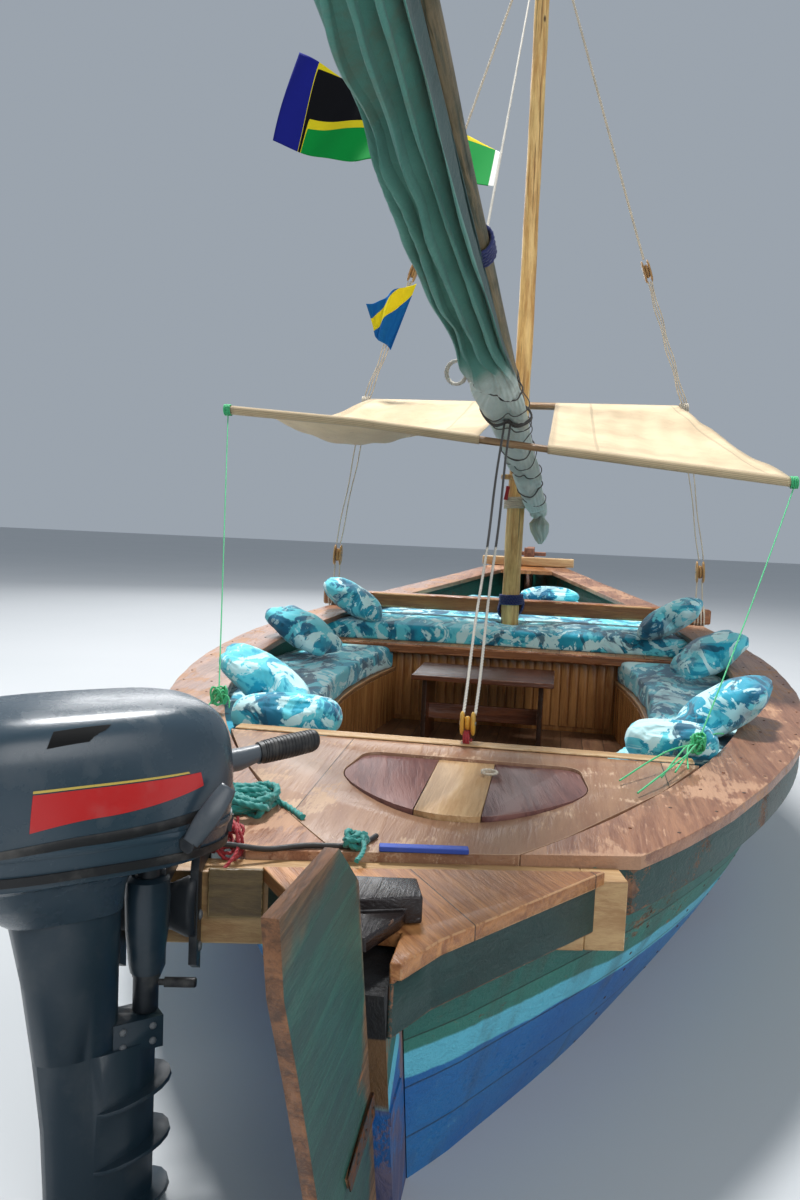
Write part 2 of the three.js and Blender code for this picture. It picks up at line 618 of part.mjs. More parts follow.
// Awning poles
const polePath = (points, y) => points.map(([x, z]) => [x, y, z]);
add('awning_pole_fore', 'mastwood', spar(
  polePath([[-POLE.foreHalf, POLE.foreZ], [POLE.foreHalf, POLE.foreZ]], POLE.foreY),
  [POLE.radius, POLE.radius], 12));
add('awning_pole_aft', 'mastwood', spar(
  polePath(AFT_POLE, POLE.aftY), AFT_POLE.map(() => POLE.aftRadius), 12));

// Shrouds: rope from the masthead out round the fore pole's end to a block,
// and a lanyard from the block to the crossbeam's end
const blockAt = (x, y, z, [a, b, c]) => block(x - a, x + a, y - b, y + b, z - c, z + c);
SIDES.forEach(([name, side]) => {
  const half = SHROUD.footTall / 2;
  const foot = [...SHROUD.foot, beamTop + GAP + half];
  const rope = [...SHROUD.path, foot].map(([x, y, z]) => [x * side, y, z]);
  const [head, end] = rope.slice(-2);
  add(`shroud_${name}`, 'rope', joined(
    spar(rope, rope.map(() => SHROUD.radius), 8),
    blockAt(...head, SHROUD.blockHalf),
    blockAt(...end, [SHROUD.footHalf, SHROUD.footHalf, half]),
  ));
});

// Awning: one canvas with a slit for mast and yard, resting on both poles
function poleHeight(x) {
  const i = AFT_POLE.findIndex(([px], k) => k > 0 && x <= px);
  const [[x0, z0], [x1, z1]] = [AFT_POLE[i - 1], AFT_POLE[i]];
  return mix(z0, z1, (x - x0) / (x1 - x0));
}

const [slitPort, slitStarboard] = AWNING.slit;
// Across the cloth: place at the fore edge, at the aft edge, sag
const CLOTH_COLUMNS = [
  [-AWNING.fore, -AWNING.aft, AWNING.sagPort], [-600, -600, AWNING.sagPort],
  [slitPort, slitPort, AWNING.sagPort], [slitStarboard, slitStarboard, AWNING.sagStarboard],
  [560, 560, AWNING.sagStarboard], [AWNING.fore, AWNING.aft, AWNING.sagStarboard],
];
const CLOTH_ROWS = 8;
const CLOTH_LEVEL = 40;          // half width at the slit's edge that keeps level

function clothPoint(column, row) {
  // Row 0 is the band forward of the slit, the others run from pole to pole
  const [foreX, aftX, sag] = CLOTH_COLUMNS[column];
  const v = Math.max(row - 1, 0) / CLOTH_ROWS;
  const x = mix(foreX, aftX, v);
  const y = row === 0 ? POLE.foreY + AWNING.band : mix(POLE.foreY, POLE.aftY, v);
  const onFore = POLE.foreZ + POLE.radius + AWNING.lift;
  const onAft = poleHeight(aftX) + POLE.aftRadius;
  const span = Math.min((Math.abs(x) - CLOTH_LEVEL) / (AWNING.aft - CLOTH_LEVEL + AWNING.rim), 1);
  return V(x, y, mix(onFore, onAft, v) + GAP - Math.sin(Math.PI * v) * Math.sin(Math.PI * span) * sag);
}

function clothSolid() {
  // A thin solid over the grid's cells, all but those in the slit
  const across = CLOTH_COLUMNS.length;
  const slit = CLOTH_COLUMNS.findIndex(([x]) => x === slitPort);
  const grid = Array.from({ length: CLOTH_ROWS + 2 }, (_, row) => (
    CLOTH_COLUMNS.map((_c, column) => clothPoint(column, row)))).flat();
  const points = [...grid, ...grid.map((p) => V(p.x, p.y, p.z + AWNING.thick))];
  const cells = [];
  for (let row = 0; row <= CLOTH_ROWS; row += 1) {
    for (let column = 0; column < across - 1; column += 1) {
      if (row === 0 || column !== slit) cells.push([row, column]);
    }
  }
  const faces = [];
  const edges = new Map();
  cells.forEach(([row, column]) => {
    const a = row * across + column;
    const ring = [a, a + 1, a + 1 + across, a + across];
    const upper = ring.map((k) => k + grid.length);
    faces.push([ring[0], ring[2], ring[1]], [ring[0], ring[3], ring[2]]);
    faces.push([upper[0], upper[1], upper[2]], [upper[0], upper[2], upper[3]]);
    ring.forEach((from, k) => {
      const to = ring[(k + 1) % 4];
      if (edges.has(`${to} ${from}`)) edges.delete(`${to} ${from}`);
      else edges.set(`${from} ${to}`, [from, to]);
    });
  });
  edges.forEach(([from, to]) => {
    faces.push([from, to, to + grid.length], [from, to + grid.length, from + grid.length]);
  });
  return closedMesh(points, faces);
}

add('awning', 'canvas', clothSolid());

// Yard and the sail furled on it
const yardAt = (aft) => V(
  HINGE.x + YARD.sway * aft, HINGE.y - aft, HINGE.z + YARD.rise * aft);
const yardLine = (aft) => yardAt(aft).toArray();
add('yard', 'yardwood', spar(
  [yardLine(-YARD.heel), yardLine(0), yardLine(YARD.aft * 0.5), yardLine(YARD.aft)],
  [YARD.thick - 3, YARD.thick, (YARD.thick + YARD.thin) / 2, YARD.thin], 16));

const yardRadius = (aft) => mix(YARD.thick, YARD.thin, Math.max(aft, 0) / YARD.aft);
const yardAhead = V(YARD.sway, -1, YARD.rise).normalize();
const yardSide = yardAhead.clone().cross(V(0, 0, -1)).normalize();
const yardUp = yardAhead.clone().cross(yardSide);
const sailBand = (rows) => loft(rows.map(([aft, below, port, low, high]) => {
  // A band of folds that hugs the yard on its port and lower side
  const centre = yardAt(aft);
  const [from, to] = [deg(low), deg(high)];
  const steps = 10;
  const inner = (yardRadius(aft) + SAIL_CLEAR) / Math.cos((to - from) / steps / 2);
  const arc = (radius) => Array.from({ length: steps + 1 }, (_, i) => {
    const a = mix(from, to, i / steps);
    return centre.clone().addScaledVector(yardSide, radius(a) * Math.cos(a))
      .addScaledVector(yardUp, radius(a) * Math.sin(a));
  });
  const fold = (a) => inner + SAIL_THICK + Math.hypot(
    Math.max(-Math.sin(a), 0) * below, Math.max(-Math.cos(a), 0) * port);
  return [...arc(fold), ...arc(() => inner).reverse()];
}));
const sailTail = loft(SAIL_TAIL.map(([z, across, lengthwise, x, y]) => (
  Array.from({ length: 12 }, (_, i) => {
    const a = (Math.PI * i) / 6;
    return V(x + across * Math.cos(a), y + lengthwise * Math.sin(a), z);
  }))));
add('furled_sail', 'sailcloth', joined(sailBand(SAIL), sailBand(SAIL_HEEL), sailTail));

// Rudder on its raked pintles
const bladeFront = (z) => RUDDER.y - RAKE * (z - RUDDER.z);
const axisAt = (z) => bladeFront(z) + RUDDER.aftGap;
const strapAt = (low, high) => [
  [bladeFront(low) + 1, low], [bladeFront(high) + 1, high],
  [bladeFront(high) - 190, high - 20], [bladeFront(low) - 190, low],
];
const alongRake = (z, low, high) => [low, high].map((d) => [0, axisAt(z) - RAKE * d, z + d]);
const pintles = RUDDER.hangers.flatMap((z) => [
  sideways(strapAt(z + 4, z + 52), -RUDDER.half - 4, RUDDER.half + 4),
  spar(alongRake(z, -52, 34), [RUDDER.pin, RUDDER.pin], 12),
  block(-6, 6, bladeFront(z + 20) - 10, axisAt(z + 20) + 4, z + 8, z + 30),
]);
add('rudder', 'topsides', joined(
  sideways([
    [bladeFront(-430), -430], [bladeFront(796), 796], [-4259, 891], [-4534, 909], [-4505, 808],
    [-4432, 676], [-4311, 443], [-4275, 330], [-4262, 120], [-4262, -160], [-4200, -340], [-4060, -430],
  ], -RUDDER.half, RUDDER.half),
  ...pintles,
));

const gudgeons = RUDDER.hangers.flatMap((z) => {
  const low = z - 46;
  return [
    cutBy(
      joined(
        spar(alongRake(z, -46, -8), [RUDDER.eye, RUDDER.eye], 16),
        sideways([
          [postAft(low) + 110, low], [postAft(low) + 110 - RAKE * 34, low + 34],
          [postAft(low + 34), low + 34], [postAft(low), low],
        ], -POST_HALF - 4, POST_HALF + 4),
        sideways([
          [postAft(low) + 20, low], [postAft(low + 34) + 20, low + 34],
          [axisAt(low + 34), low + 34], [axisAt(low), low],
        ], -6, 6),
      ),
      spar(alongRake(z, -80, 20), [RUDDER.pin + 1, RUDDER.pin + 1], 12),
    ),
  ];
});
add('sternpost', 'topsides', joined(sternpostSide, ...gudgeons));

// Stepped block at the head of the sternpost
const headFoot = railTop(HEAD.fore) + GAP;
add('sternpost_head', 'black', joined(...[HEAD.upper, HEAD.lower].map(({ plan, rise }) => (
  upright(plan, headFoot, headFoot + rise)))));

// Cushions: pads on benches and platform, bolsters and loose pillows
function pad(points, bottom, thick) {
  return upright(points, bottom + GAP, bottom + thick);
}

SIDES.forEach(([name, side]) => {
  const ys = Array.from({ length: 7 }, (_, i) => mix(PAD.aft, PAD.fore, i / 6));
  const inner = ys.map((y) => [benchFront(y), y]);
  const outer = [[WIDE, PAD.fore], [WIDE, PAD.aft]];
  add(`seat_pad_${name}`, 'cushion', fitted(
    pad(mirrored([...inner, ...outer], side), BENCH.top, PAD.thick), padSpace));
});

const padPlan = [
  [-WIDE, PAD.platformAft], [WIDE, PAD.platformAft], [WIDE, PAD.platformFore], [-WIDE, PAD.platformFore]];
add('platform_pad', 'cushion', fitted(upright(
  padPlan, PLATFORM.top + GAP, PLATFORM.top + PAD.platformThick, [mastRound(PAD.mastClear)]), padSpace));

function pillow([x, y, from, long, wide, thick, yaw, roll]) {
  const body = new THREE.SphereGeometry(1, 14, 8);
  const place = body.attributes.position;
  const full = (value) => Math.sign(value) * Math.abs(value) ** 0.6;
  for (let i = 0; i < place.count; i += 1) {
    place.setXYZ(i, full(place.getX(i)) * long / 2, full(place.getY(i)) * wide / 2, full(place.getZ(i)) * thick / 2);
  }
  body.rotateY(deg(roll)).rotateZ(deg(yaw));
  return body.translate(x, y, from);
}

const DROP_STEP = 10;

function settled(body, supports) {
  // Lowered until it lies on what is under it
  const loose = solid(body);
  const touches = (drop) => supports.some((other) => (
    loose.translate([0, 0, -drop - GAP]).intersect(other).volume() > 0));
  let reach = DROP_STEP;
  while (!touches(reach)) reach += DROP_STEP;
  return body.translate(0, 0, -search(reach - DROP_STEP, reach, touches));
}

const carriers = model.children
  .filter(({ name }) => /^(seat_pad|platform_pad|cap_rail|planking|platform|crossbeam|awning_pole)/.test(name))
  .map(({ geometry }) => solid(geometry));
PILLOWS.forEach(([name, ...place]) => {
  const body = settled(pillow(place), carriers);
  carriers.push(solid(add(name, 'cushion', body).geometry));
});

// Small table in the well
const [tableX0, tableX1, tableY0, tableY1] = TABLE.plan;
add('table', 'varnish', joined(
  block(tableX0, tableX1, tableY0, tableY1, TABLE.top - 24, TABLE.top),
  ...[tableX0 + 50, tableX1 - 74].map((x) => (
    block(x, x + 24, tableY0 + 40, tableY1 - 40, SOLE.top + GAP, TABLE.top - 20))),
  block(tableX0 + 60, tableX1 - 60, tableY0 + 150, tableY0 + 170, SOLE.top + 120, SOLE.top + 200),
));

// Motor beam
add('motor_beam', 'pine', turnBeam(block(
  BEAM.port, BEAM.starboard, -BEAM.wide / 2, BEAM.wide / 2, BEAM.top - BEAM.deep, BEAM.top)));

// Outboard motor: its clamp is square to the beam, the rest hangs from it
const clampFrame = new THREE.Matrix4().makeRotationZ(deg(BEAM.turn))
  .setPosition(BEAM.x, BEAM.y, 0);
const onBeam = (geometry) => geometry.applyMatrix4(
  clampFrame.clone().multiply(new THREE.Matrix4().makeTranslation(MOTOR.along, 0, 0)));
const steerFrame = clampFrame.clone()
  .multiply(new THREE.Matrix4().makeTranslation(MOTOR.along, -MOTOR.reach, 0))
  .multiply(new THREE.Matrix4().makeRotationZ(deg(-MOTOR.heading - BEAM.turn)));
const onMotor = (geometry) => geometry.applyMatrix4(steerFrame);

const clampCheek = (left, right) => sideways([
  [-92, 430], [-BEAM.wide / 2 - GAP, 400], [-BEAM.wide / 2 - GAP, BEAM.top + GAP],
  [BEAM.wide / 2 + 26, BEAM.top + GAP], [BEAM.wide / 2 + 26, BEAM.top - 84], [BEAM.wide / 2 + 44, BEAM.top - 84],
  [BEAM.wide / 2 + 44, BEAM.top + 40], [0, BEAM.top + 70], [-60, BEAM.top + 70], [-92, BEAM.top + 20],
], left, right);
const cheekIn = MOTOR.cheek - 16;
add('motor_clamp', 'dark', onBeam(joined(
  clampCheek(-MOTOR.cheek, -cheekIn), clampCheek(cheekIn, MOTOR.cheek),
  pin(0, MOTOR.tiltY, MOTOR.tiltZ, 'x', 12, 2 * cheekIn + 4, 16),
  block(-cheekIn - 2, cheekIn + 2, BEAM.wide / 2 + 27, BEAM.wide / 2 + 43, BEAM.top - 70, BEAM.top - 30),
  ...[-60, 60].flatMap((x) => [
    pin(x, BEAM.wide / 2 + 42, BEAM.top - 55, 'y', 8, 82 - 2 * GAP, 12),
    pin(x, BEAM.wide / 2 + 10, BEAM.top - 55, 'y', 20, 20 - 2 * GAP - 1, 12),
    block(x - 34, x + 34, BEAM.wide / 2 + 76, BEAM.wide / 2 + 82, BEAM.top - 61, BEAM.top - 49),
  ]),
)));

// Fuel hose, lying on the deck
const hoseLine = new THREE.CatmullRomCurve3(HOSE.route.map(([x, y, lift]) => V(x, y, railTop(y) + lift)));
const hoseSection = new THREE.Shape(Array.from({ length: 8 }, (_, i) => (
  new THREE.Vector2(HOSE.radius * Math.cos((Math.PI * i) / 4), HOSE.radius * Math.sin((Math.PI * i) / 4)))));
add('fuel_hose', 'dark', new THREE.ExtrudeGeometry(hoseSection, {
  steps: HOSE.steps, extrudePath: hoseLine, bevelEnabled: false,
}));

const sleeveHalf = cheekIn - 1;
add('motor_swivel', 'dark', onBeam(cutBy(
  joined(
    pin(0, MOTOR.tiltY, MOTOR.tiltZ, 'x', 20, 2 * sleeveHalf, 16),
    block(-34, 34, -MOTOR.reach, MOTOR.tiltY - 8, MOTOR.tiltZ - 34, MOTOR.tiltZ + 6),
    block(-26, 26, -MOTOR.reach, -MOTOR.reach + 56, MOTOR.tubeLow + 60, MOTOR.tiltZ),
    pin(0, -MOTOR.reach, (MOTOR.tubeLow + MOTOR.tubeHigh) / 2, 'z', 24, MOTOR.tubeHigh - MOTOR.tubeLow, 20),
  ),
  pin(0, MOTOR.tiltY, MOTOR.tiltZ, 'x', 13, 2 * sleeveHalf + 20, 16),
  pin(0, -MOTOR.reach, (MOTOR.tubeLow + MOTOR.tubeHigh) / 2, 'z', 13, 900, 16),
)));

function oval(front, aft, half, z, power = 0.75, steps = 20) {
  const [middle, long] = [(front + aft) / 2, (front - aft) / 2];
  return Array.from({ length: steps }, (_, i) => {
    const a = (2 * Math.PI * i) / steps;
    const [c, s] = [Math.cos(a), Math.sin(a)];
    return V(Math.sign(s) * Math.abs(s) ** power * half, middle + Math.sign(c) * Math.abs(c) ** power * long, z);
  });
}

const ovals = (table, power) => loft(table.map(([z, front, aft, half, tilt = 0]) => (
  oval(front, aft, half, z, power).map((p) => V(p.x, p.y, p.z + p.y * tilt)))));

add('motor_cowl', 'cowl', onMotor(ovals(COWL, 0.62)));
add('motor_pan', 'leg', onMotor(ovals(PAN, 0.62)));

const fins = MOTOR.fins.map((z) => {
  const body = upright(oval(52, -120, 58, 0, 0.9).map((p) => [p.x, p.y]), -4, 4);
  return body.rotateX(deg(14)).translate(0, 0, z);
});
add('motor_leg', 'leg', onMotor(joined(
  ovals(LEG_UPPER, 0.8), ovals(LEG_LOWER, 0.85), ...fins,
  pin(0, 0, (MOTOR.tubeLow + MOTOR.tubeHigh) / 2, 'z', 12, MOTOR.tubeHigh - MOTOR.tubeLow + 24, 16),
  block(-30, 30, -40, 22, MOTOR.tubeHigh + 3, MOTOR.tubeHigh + 21),
  block(-34, 34, -70, 24, MOTOR.tubeLow - 64, MOTOR.tubeLow - 3),
  upright([[-40, 20], [40, 20], [86, -120], [86, -290], [-86, -290], [-86, -120]], MOTOR.plate - 8, MOTOR.plate),
  spar(GEARCASE.map(([y]) => [0, y, MOTOR.shaft]), GEARCASE.map(([, r]) => r), 16),
  sideways([[40, MOTOR.shaft], [-20, MOTOR.shaft - 150], [-150, MOTOR.shaft - 165], [-140, MOTOR.shaft]], -5, 5),
)));

function bladeRing(radius, long, turn, spin) {
  const c = Math.cos(deg(turn));
  const s = Math.sin(deg(turn));
  return [[-1, -1], [1, -1], [1, 1], [-1, 1]].map(([u, v]) => {
    const along = u * long / 2;
    const thick = v * 2.2;
    const p = V(along * c - thick * s, along * s + thick * c, radius);
    return p.applyAxisAngle(V(0, 1, 0), deg(spin));
  });
}

const blades = [0, 120, 240].map((spin) => loft(PROP.blade.map(([radius, long, turn]) => (
  bladeRing(radius, long, turn, spin)))));
const hubMiddle = GEARCASE[GEARCASE.length - 1][0] - 2 * GAP - PROP.hub / 2;
add('propeller', 'dark', onMotor(joined(
  spar([[0, PROP.hub / 2, 0], [0, -PROP.hub / 2, 0]], [PROP.front, PROP.back], 18), ...blades,
).translate(0, hubMiddle, MOTOR.shaft)));

add('tiller', 'dark', onMotor(joined(
  spar(TILLER.map(([x, y, z]) => [x, y, z]), TILLER.map(([, , , r]) => r), 14),
)));

export default model;
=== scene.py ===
from math import atan2, cos, hypot, pi, radians, sin, sqrt

import bmesh
import bpy
from mathutils import Matrix, Vector, noise


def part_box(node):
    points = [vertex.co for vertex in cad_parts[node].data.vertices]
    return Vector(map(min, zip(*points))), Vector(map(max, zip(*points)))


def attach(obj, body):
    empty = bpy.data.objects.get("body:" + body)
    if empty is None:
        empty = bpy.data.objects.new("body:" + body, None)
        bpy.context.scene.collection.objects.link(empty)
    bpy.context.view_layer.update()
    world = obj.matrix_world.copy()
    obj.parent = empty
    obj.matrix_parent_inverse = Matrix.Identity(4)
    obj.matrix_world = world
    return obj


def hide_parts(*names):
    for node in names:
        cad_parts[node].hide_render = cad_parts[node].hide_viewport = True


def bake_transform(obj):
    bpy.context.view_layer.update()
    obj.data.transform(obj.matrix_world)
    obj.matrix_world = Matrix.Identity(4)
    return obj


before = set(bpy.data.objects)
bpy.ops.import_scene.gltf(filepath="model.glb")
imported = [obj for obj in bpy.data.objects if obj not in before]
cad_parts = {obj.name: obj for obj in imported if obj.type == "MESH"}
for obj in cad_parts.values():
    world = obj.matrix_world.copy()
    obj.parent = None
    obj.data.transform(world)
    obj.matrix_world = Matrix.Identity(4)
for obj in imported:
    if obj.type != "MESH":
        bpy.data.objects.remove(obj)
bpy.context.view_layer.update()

# The camera stands just aft of the rudder at eye height and looks forward
# along the boat, a little down and to port, with a wide lens.
EYE = Vector((0.271, -5.46, 1.319))
TURN, DOWN, ROLL = 0.161, 0.082, 0.042
ahead = Vector((-sin(TURN) * cos(DOWN), cos(TURN) * cos(DOWN), -sin(DOWN)))
level = Vector((cos(TURN), sin(TURN), 0))
above = level.cross(ahead)
up = cos(ROLL) * above - sin(ROLL) * level
right = cos(ROLL) * level + sin(ROLL) * above
lens = bpy.data.cameras.new("camera")
lens.lens = 29.04
camera = bpy.data.objects.new("camera", lens)
camera.matrix_world = Matrix.Translation(EYE) @ Matrix((right, up, -ahead)).transposed().to_4x4()
bpy.context.scene.collection.objects.link(camera)
bpy.context.scene.camera = camera

# The fuel hose is black rubber, 12 mm thick. It leaves a clip on the motor's
# clamp, lies on the aft deck and goes down through a hole to the tank.
RAILS = [                        # share of length, half width, height, rabbet, roundness
    (0.00, 0.060, 0.603, -0.400, 1.50), (0.10, 0.642, 0.640, -0.410, 1.55),
    (0.22, 1.048, 0.678, -0.420, 1.90), (0.36, 1.200, 0.722, -0.425, 2.40),
    (0.50, 1.125, 0.764, -0.425, 2.50), (0.65, 0.919, 0.812, -0.420, 2.20),
    (0.82, 0.530, 0.900, -0.410, 1.70), (1.00, 0.052, 1.025, -0.390, 1.40),
]
LENGTH = 7.7
SIDES = (("port", -1), ("starboard", 1))
HOSE_WIDE = 0.012
HOSE_ROUTE = [                   # X, Y, height of its middle above the deck
    (-0.411, -3.603, 0.026), (-0.396, -3.600, 0.026), (-0.378, -3.596, 0.025),
    (-0.358, -3.589, 0.022), (-0.336, -3.580, 0.017), (-0.312, -3.568, 0.011),
    (-0.288, -3.553, 0.007), (-0.262, -3.536, 0.0063), (-0.236, -3.521, 0.0063),
    (-0.208, -3.511, 0.0063), (-0.180, -3.506, 0.0063), (-0.152, -3.500, 0.0063),
    (-0.128, -3.488, 0.0063), (-0.110, -3.470, 0.0063), (-0.098, -3.448, 0.0063),
    (-0.090, -3.424, 0.0063),
]


def along(table, column, s):
    """A smooth curve through one column of a table, by its first column"""
    i = 0
    while i < len(table) - 2 and s > table[i + 1][0]:
        i += 1

    def slope(k):
        a, b = table[max(k - 1, 0)], table[min(k + 1, len(table) - 1)]
        return (b[column] - a[column]) / (b[0] - a[0])

    p, q = table[i], table[i + 1]
    span = q[0] - p[0]
    t = (s - p[0]) / span
    return (p[column] * (2 * t ** 3 - 3 * t ** 2 + 1) + slope(i) * span * (t ** 3 - 2 * t ** 2 + t)
            + q[column] * (3 * t ** 2 - 2 * t ** 3) + slope(i + 1) * span * (t ** 3 - t ** 2))


def rail_top(y):
    return along(RAILS, 2, (y + LENGTH / 2) / LENGTH)


def new_object(name, data):
    made = bpy.data.objects.new(name, data)
    bpy.context.scene.collection.objects.link(made)
    return made


def object_of(shape, name):
    """A new object of a bmesh, which is freed"""
    data = bpy.data.meshes.new(name)
    shape.to_mesh(data)
    shape.free()
    return new_object(name, data)


def applied(piece):
    """The piece with its modifiers made into its mesh"""
    name = piece.name
    graph = bpy.context.evaluated_depsgraph_get()
    data = bpy.data.meshes.new_from_object(piece.evaluated_get(graph), depsgraph=graph)
    bpy.data.objects.remove(piece)
    return new_object(name, data)


def smooth_curve(name, points, radius, detail=6):
    """A round curve of one open spline through the points"""
    data = bpy.data.curves.new(name, "CURVE")
    data.dimensions = "3D"
    data.bevel_depth = radius
    data.bevel_resolution = 3
    data.resolution_u = detail
    data.use_fill_caps = True
    spline = data.splines.new("BEZIER")
    spline.bezier_points.add(len(points) - 1)
    for point, place in zip(spline.bezier_points, points):
        point.co = place
        point.handle_left_type = point.handle_right_type = "AUTO"
    return new_object(name, data)


work = {}                        # the node tree that is being built, and its shader


def put(kind, inputs=(), **settings):
    """One node of the tree at work, its settings and its inputs, by name or place"""
    tree = work["tree"]
    made = tree.nodes.new(kind)
    for key, value in settings.items():
        setattr(made, key, value)
    for key, value in dict(inputs).items():
        socket = made.inputs[key]
        if isinstance(value, bpy.types.NodeSocket):
            tree.links.new(value, socket)
        elif socket.type == "RGBA":
            socket.default_value = (*value, 1.0)
        else:
            socket.default_value = value
    return made


def calc(operation, a, b=0.0):
    return put("ShaderNodeMath", {0: a, 1: b}, operation=operation).outputs[0]


def times(a, b):
    return calc("MULTIPLY", a, b)


def plus(a, b):
    return calc("ADD", a, b)


def minus(a, b):
    return calc("SUBTRACT", a, b)


def spread(value, low, high, start=0.0, end=1.0):
    """The value's stretch from low to high, smoothly, as a share"""
    return put("ShaderNodeMapRange", {0: value, 1: low, 2: high, 3: start, 4: end},
               interpolation_type="SMOOTHSTEP").outputs[0]


def mixed(share, a, b):
    """One colour turning into another"""
    return put("ShaderNodeMix", {0: share, 6: a, 7: b}, data_type="RGBA").outputs[2]


def speckle(vector, scale, detail=4.0, rough=0.55, twist=0.0):
    sockets = {"Vector": vector, "Scale": scale, "Detail": detail, "Roughness": rough, "Distortion": twist}
    return put("ShaderNodeTexNoise", sockets).outputs[0]


def mapped(vector, **inputs):
    return put("ShaderNodeMapping", {0: vector, **inputs}).outputs[0]


def axes_of(vector):
    return put("ShaderNodeSeparateXYZ", {0: vector}).outputs


def noted(name):
    """What a mesh attribute says"""
    return put("ShaderNodeAttribute", attribute_name=name).outputs["Fac"]


def rgb(red, green, blue):
    return (red, green, blue, 1.0)


def toned(color, share):
    """A darker tone of a colour"""
    return tuple(part * share for part in color)


def new_material(name, roughness=0.6, **fixed):
    """A material, whose tree is now at work, and the piece's own coordinates"""
    made = bpy.data.materials.new(name)
    made.use_nodes = True
    work["tree"] = made.node_tree
    work["shader"] = shader = made.node_tree.nodes["Principled BSDF"]
    shader.inputs["Roughness"].default_value = roughness
    for key, value in fixed.items():
        shader.inputs[key.replace("_", " ")].default_value = value
    return made, put("ShaderNodeTexCoord").outputs["Object"]


def dress(color, roughness=None, height=None, depth=0.001):
    """Colour, roughness and relief into the shader at work"""
    tree, shader = work["tree"], work["shader"]
    tree.links.new(color, shader.inputs["Base Color"])
    if roughness is not None:
        tree.links.new(roughness, shader.inputs["Roughness"])
    if height is not None:
        bump = put("ShaderNodeBump", {"Height": height, "Distance": depth})
        tree.links.new(bump.outputs[0], shader.inputs["Normal"])


hose_rubber, place = new_material("hose_rubber", 0.5)
dust = speckle(place, 60.0)
dress(mixed(dust, (0.012, 0.012, 0.013), (0.045, 0.043, 0.04)),
      spread(dust, 0.3, 0.7, 0.4, 0.65), speckle(place, 900.0, 2.0), 0.0004)

route = [Vector((x, y, rail_top(y) + lift)) for x, y, lift in HOSE_ROUTE]
fuel_hose = smooth_curve("fuel_hose_rubber", route, HOSE_WIDE / 2)
fuel_hose.data.materials.append(hose_rubber)
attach(fuel_hose, "hull")
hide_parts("fuel_hose")

# A plain pale floor at the waterline and soft studio light: a high broad
# lamp over the port bow and two weaker ones that fill the shadows.
floor_paint, place = new_material("floor_paint", 0.85)
shade = speckle(place, 0.6, 2.0)
dress(mixed(shade, (0.52, 0.54, 0.55), (0.57, 0.58, 0.59)))
FLOOR_HALF = 45.0
sheet = bpy.data.meshes.new("floor")
corners = [(-1, -1), (1, -1), (1, 1), (-1, 1)]
sheet.from_pydata([(FLOOR_HALF * x, FLOOR_HALF * y, 0.0) for x, y in corners], [], [(0, 1, 2, 3)])
sheet.materials.append(floor_paint)
new_object("floor", sheet)

LAMPS = [                        # name, place, what it points at, size, watts
    ("key", (-1.6, 1.6, 11.0), (0.2, -1.6, 0.6), 1.6, 1500),
    ("fill", (5, -10, 6), (0, -2, 0.8), 6.0, 330),
    ("back", (-4, 9, 6), (0, 0, 1.5), 6.0, 300),
]
for lamp_name, at, target, size, watts in LAMPS:
    light = bpy.data.lights.new(lamp_name, "AREA")
    light.size = size
    light.energy = watts
    lamp = new_object(lamp_name, light)
    lamp.location = at
    lamp.rotation_euler = (Vector(target) - Vector(at)).to_track_quat("-Z", "Y").to_euler()
world = bpy.data.worlds.new("studio")
world.use_nodes = True
world.node_tree.nodes["Background"].inputs["Color"].default_value = rgb(0.78, 0.88, 1.0)
world.node_tree.nodes["Background"].inputs["Strength"].default_value = 0.42
bpy.context.scene.world = world
bpy.context.scene.view_settings.view_transform = "Standard"

# The hull is carvel planked: eleven strakes a side over sawn frames, caulked
# and nailed. Green paint, much scuffed, over brown wood; a pale blue boot
# stripe and blue bottom paint below.
POST_HALF = 0.035
PLANK = 0.028
FLARE = 0.2
HEEL_AFT, HEEL_FORE = -3.47, 2.75
RAIL = {"inward": 0.165, "outward": 0.048, "thick": 0.030}
STRAKES = 11
SEAM_DEEP = 0.003
FAIRED = 0.012                   # share of length over which the planks fair into the posts
SEAM_HALF = 0.007                # share of a strake's width
STATIONS = 130


def skin(s, angle):
    """A point on the outer face of the starboard planking"""
    half, rail, rabbet = along(RAILS, 1, s), along(RAILS, 2, s) - RAIL["thick"], along(RAILS, 3, s)
    end = min(s, 1 - s) / FAIRED
    if end < 1:
        half = POST_HALF + 0.003 + (half - POST_HALF - 0.003) * end * (2 - end)
    power = 2 / along(RAILS, 4, s)
    rise = 1 - max(cos(angle), 0) ** power
    flat = (1 - FLARE) * sin(angle) ** power + FLARE * rise
    low, high = HEEL_AFT + (HEEL_FORE - HEEL_AFT) * s, LENGTH * (s - 0.5)
    return Vector((POST_HALF + (half - POST_HALF) * flat, low + (high - low) * rise,
                   rabbet + (rail - rabbet) * rise))


def skin_out(s, angle, reach):
    """The way out of the planking at a point, from its neighbours along and round it"""
    fore, back = skin(min(s + 0.004, 1), angle), skin(max(s - 0.004, 0), angle)
    head, foot = skin(s, min(angle + reach, pi / 2)), skin(s, max(angle - reach, 0.005))
    out = (fore - back).cross(head - foot).normalized()
    return out if out.x > 0 else -out


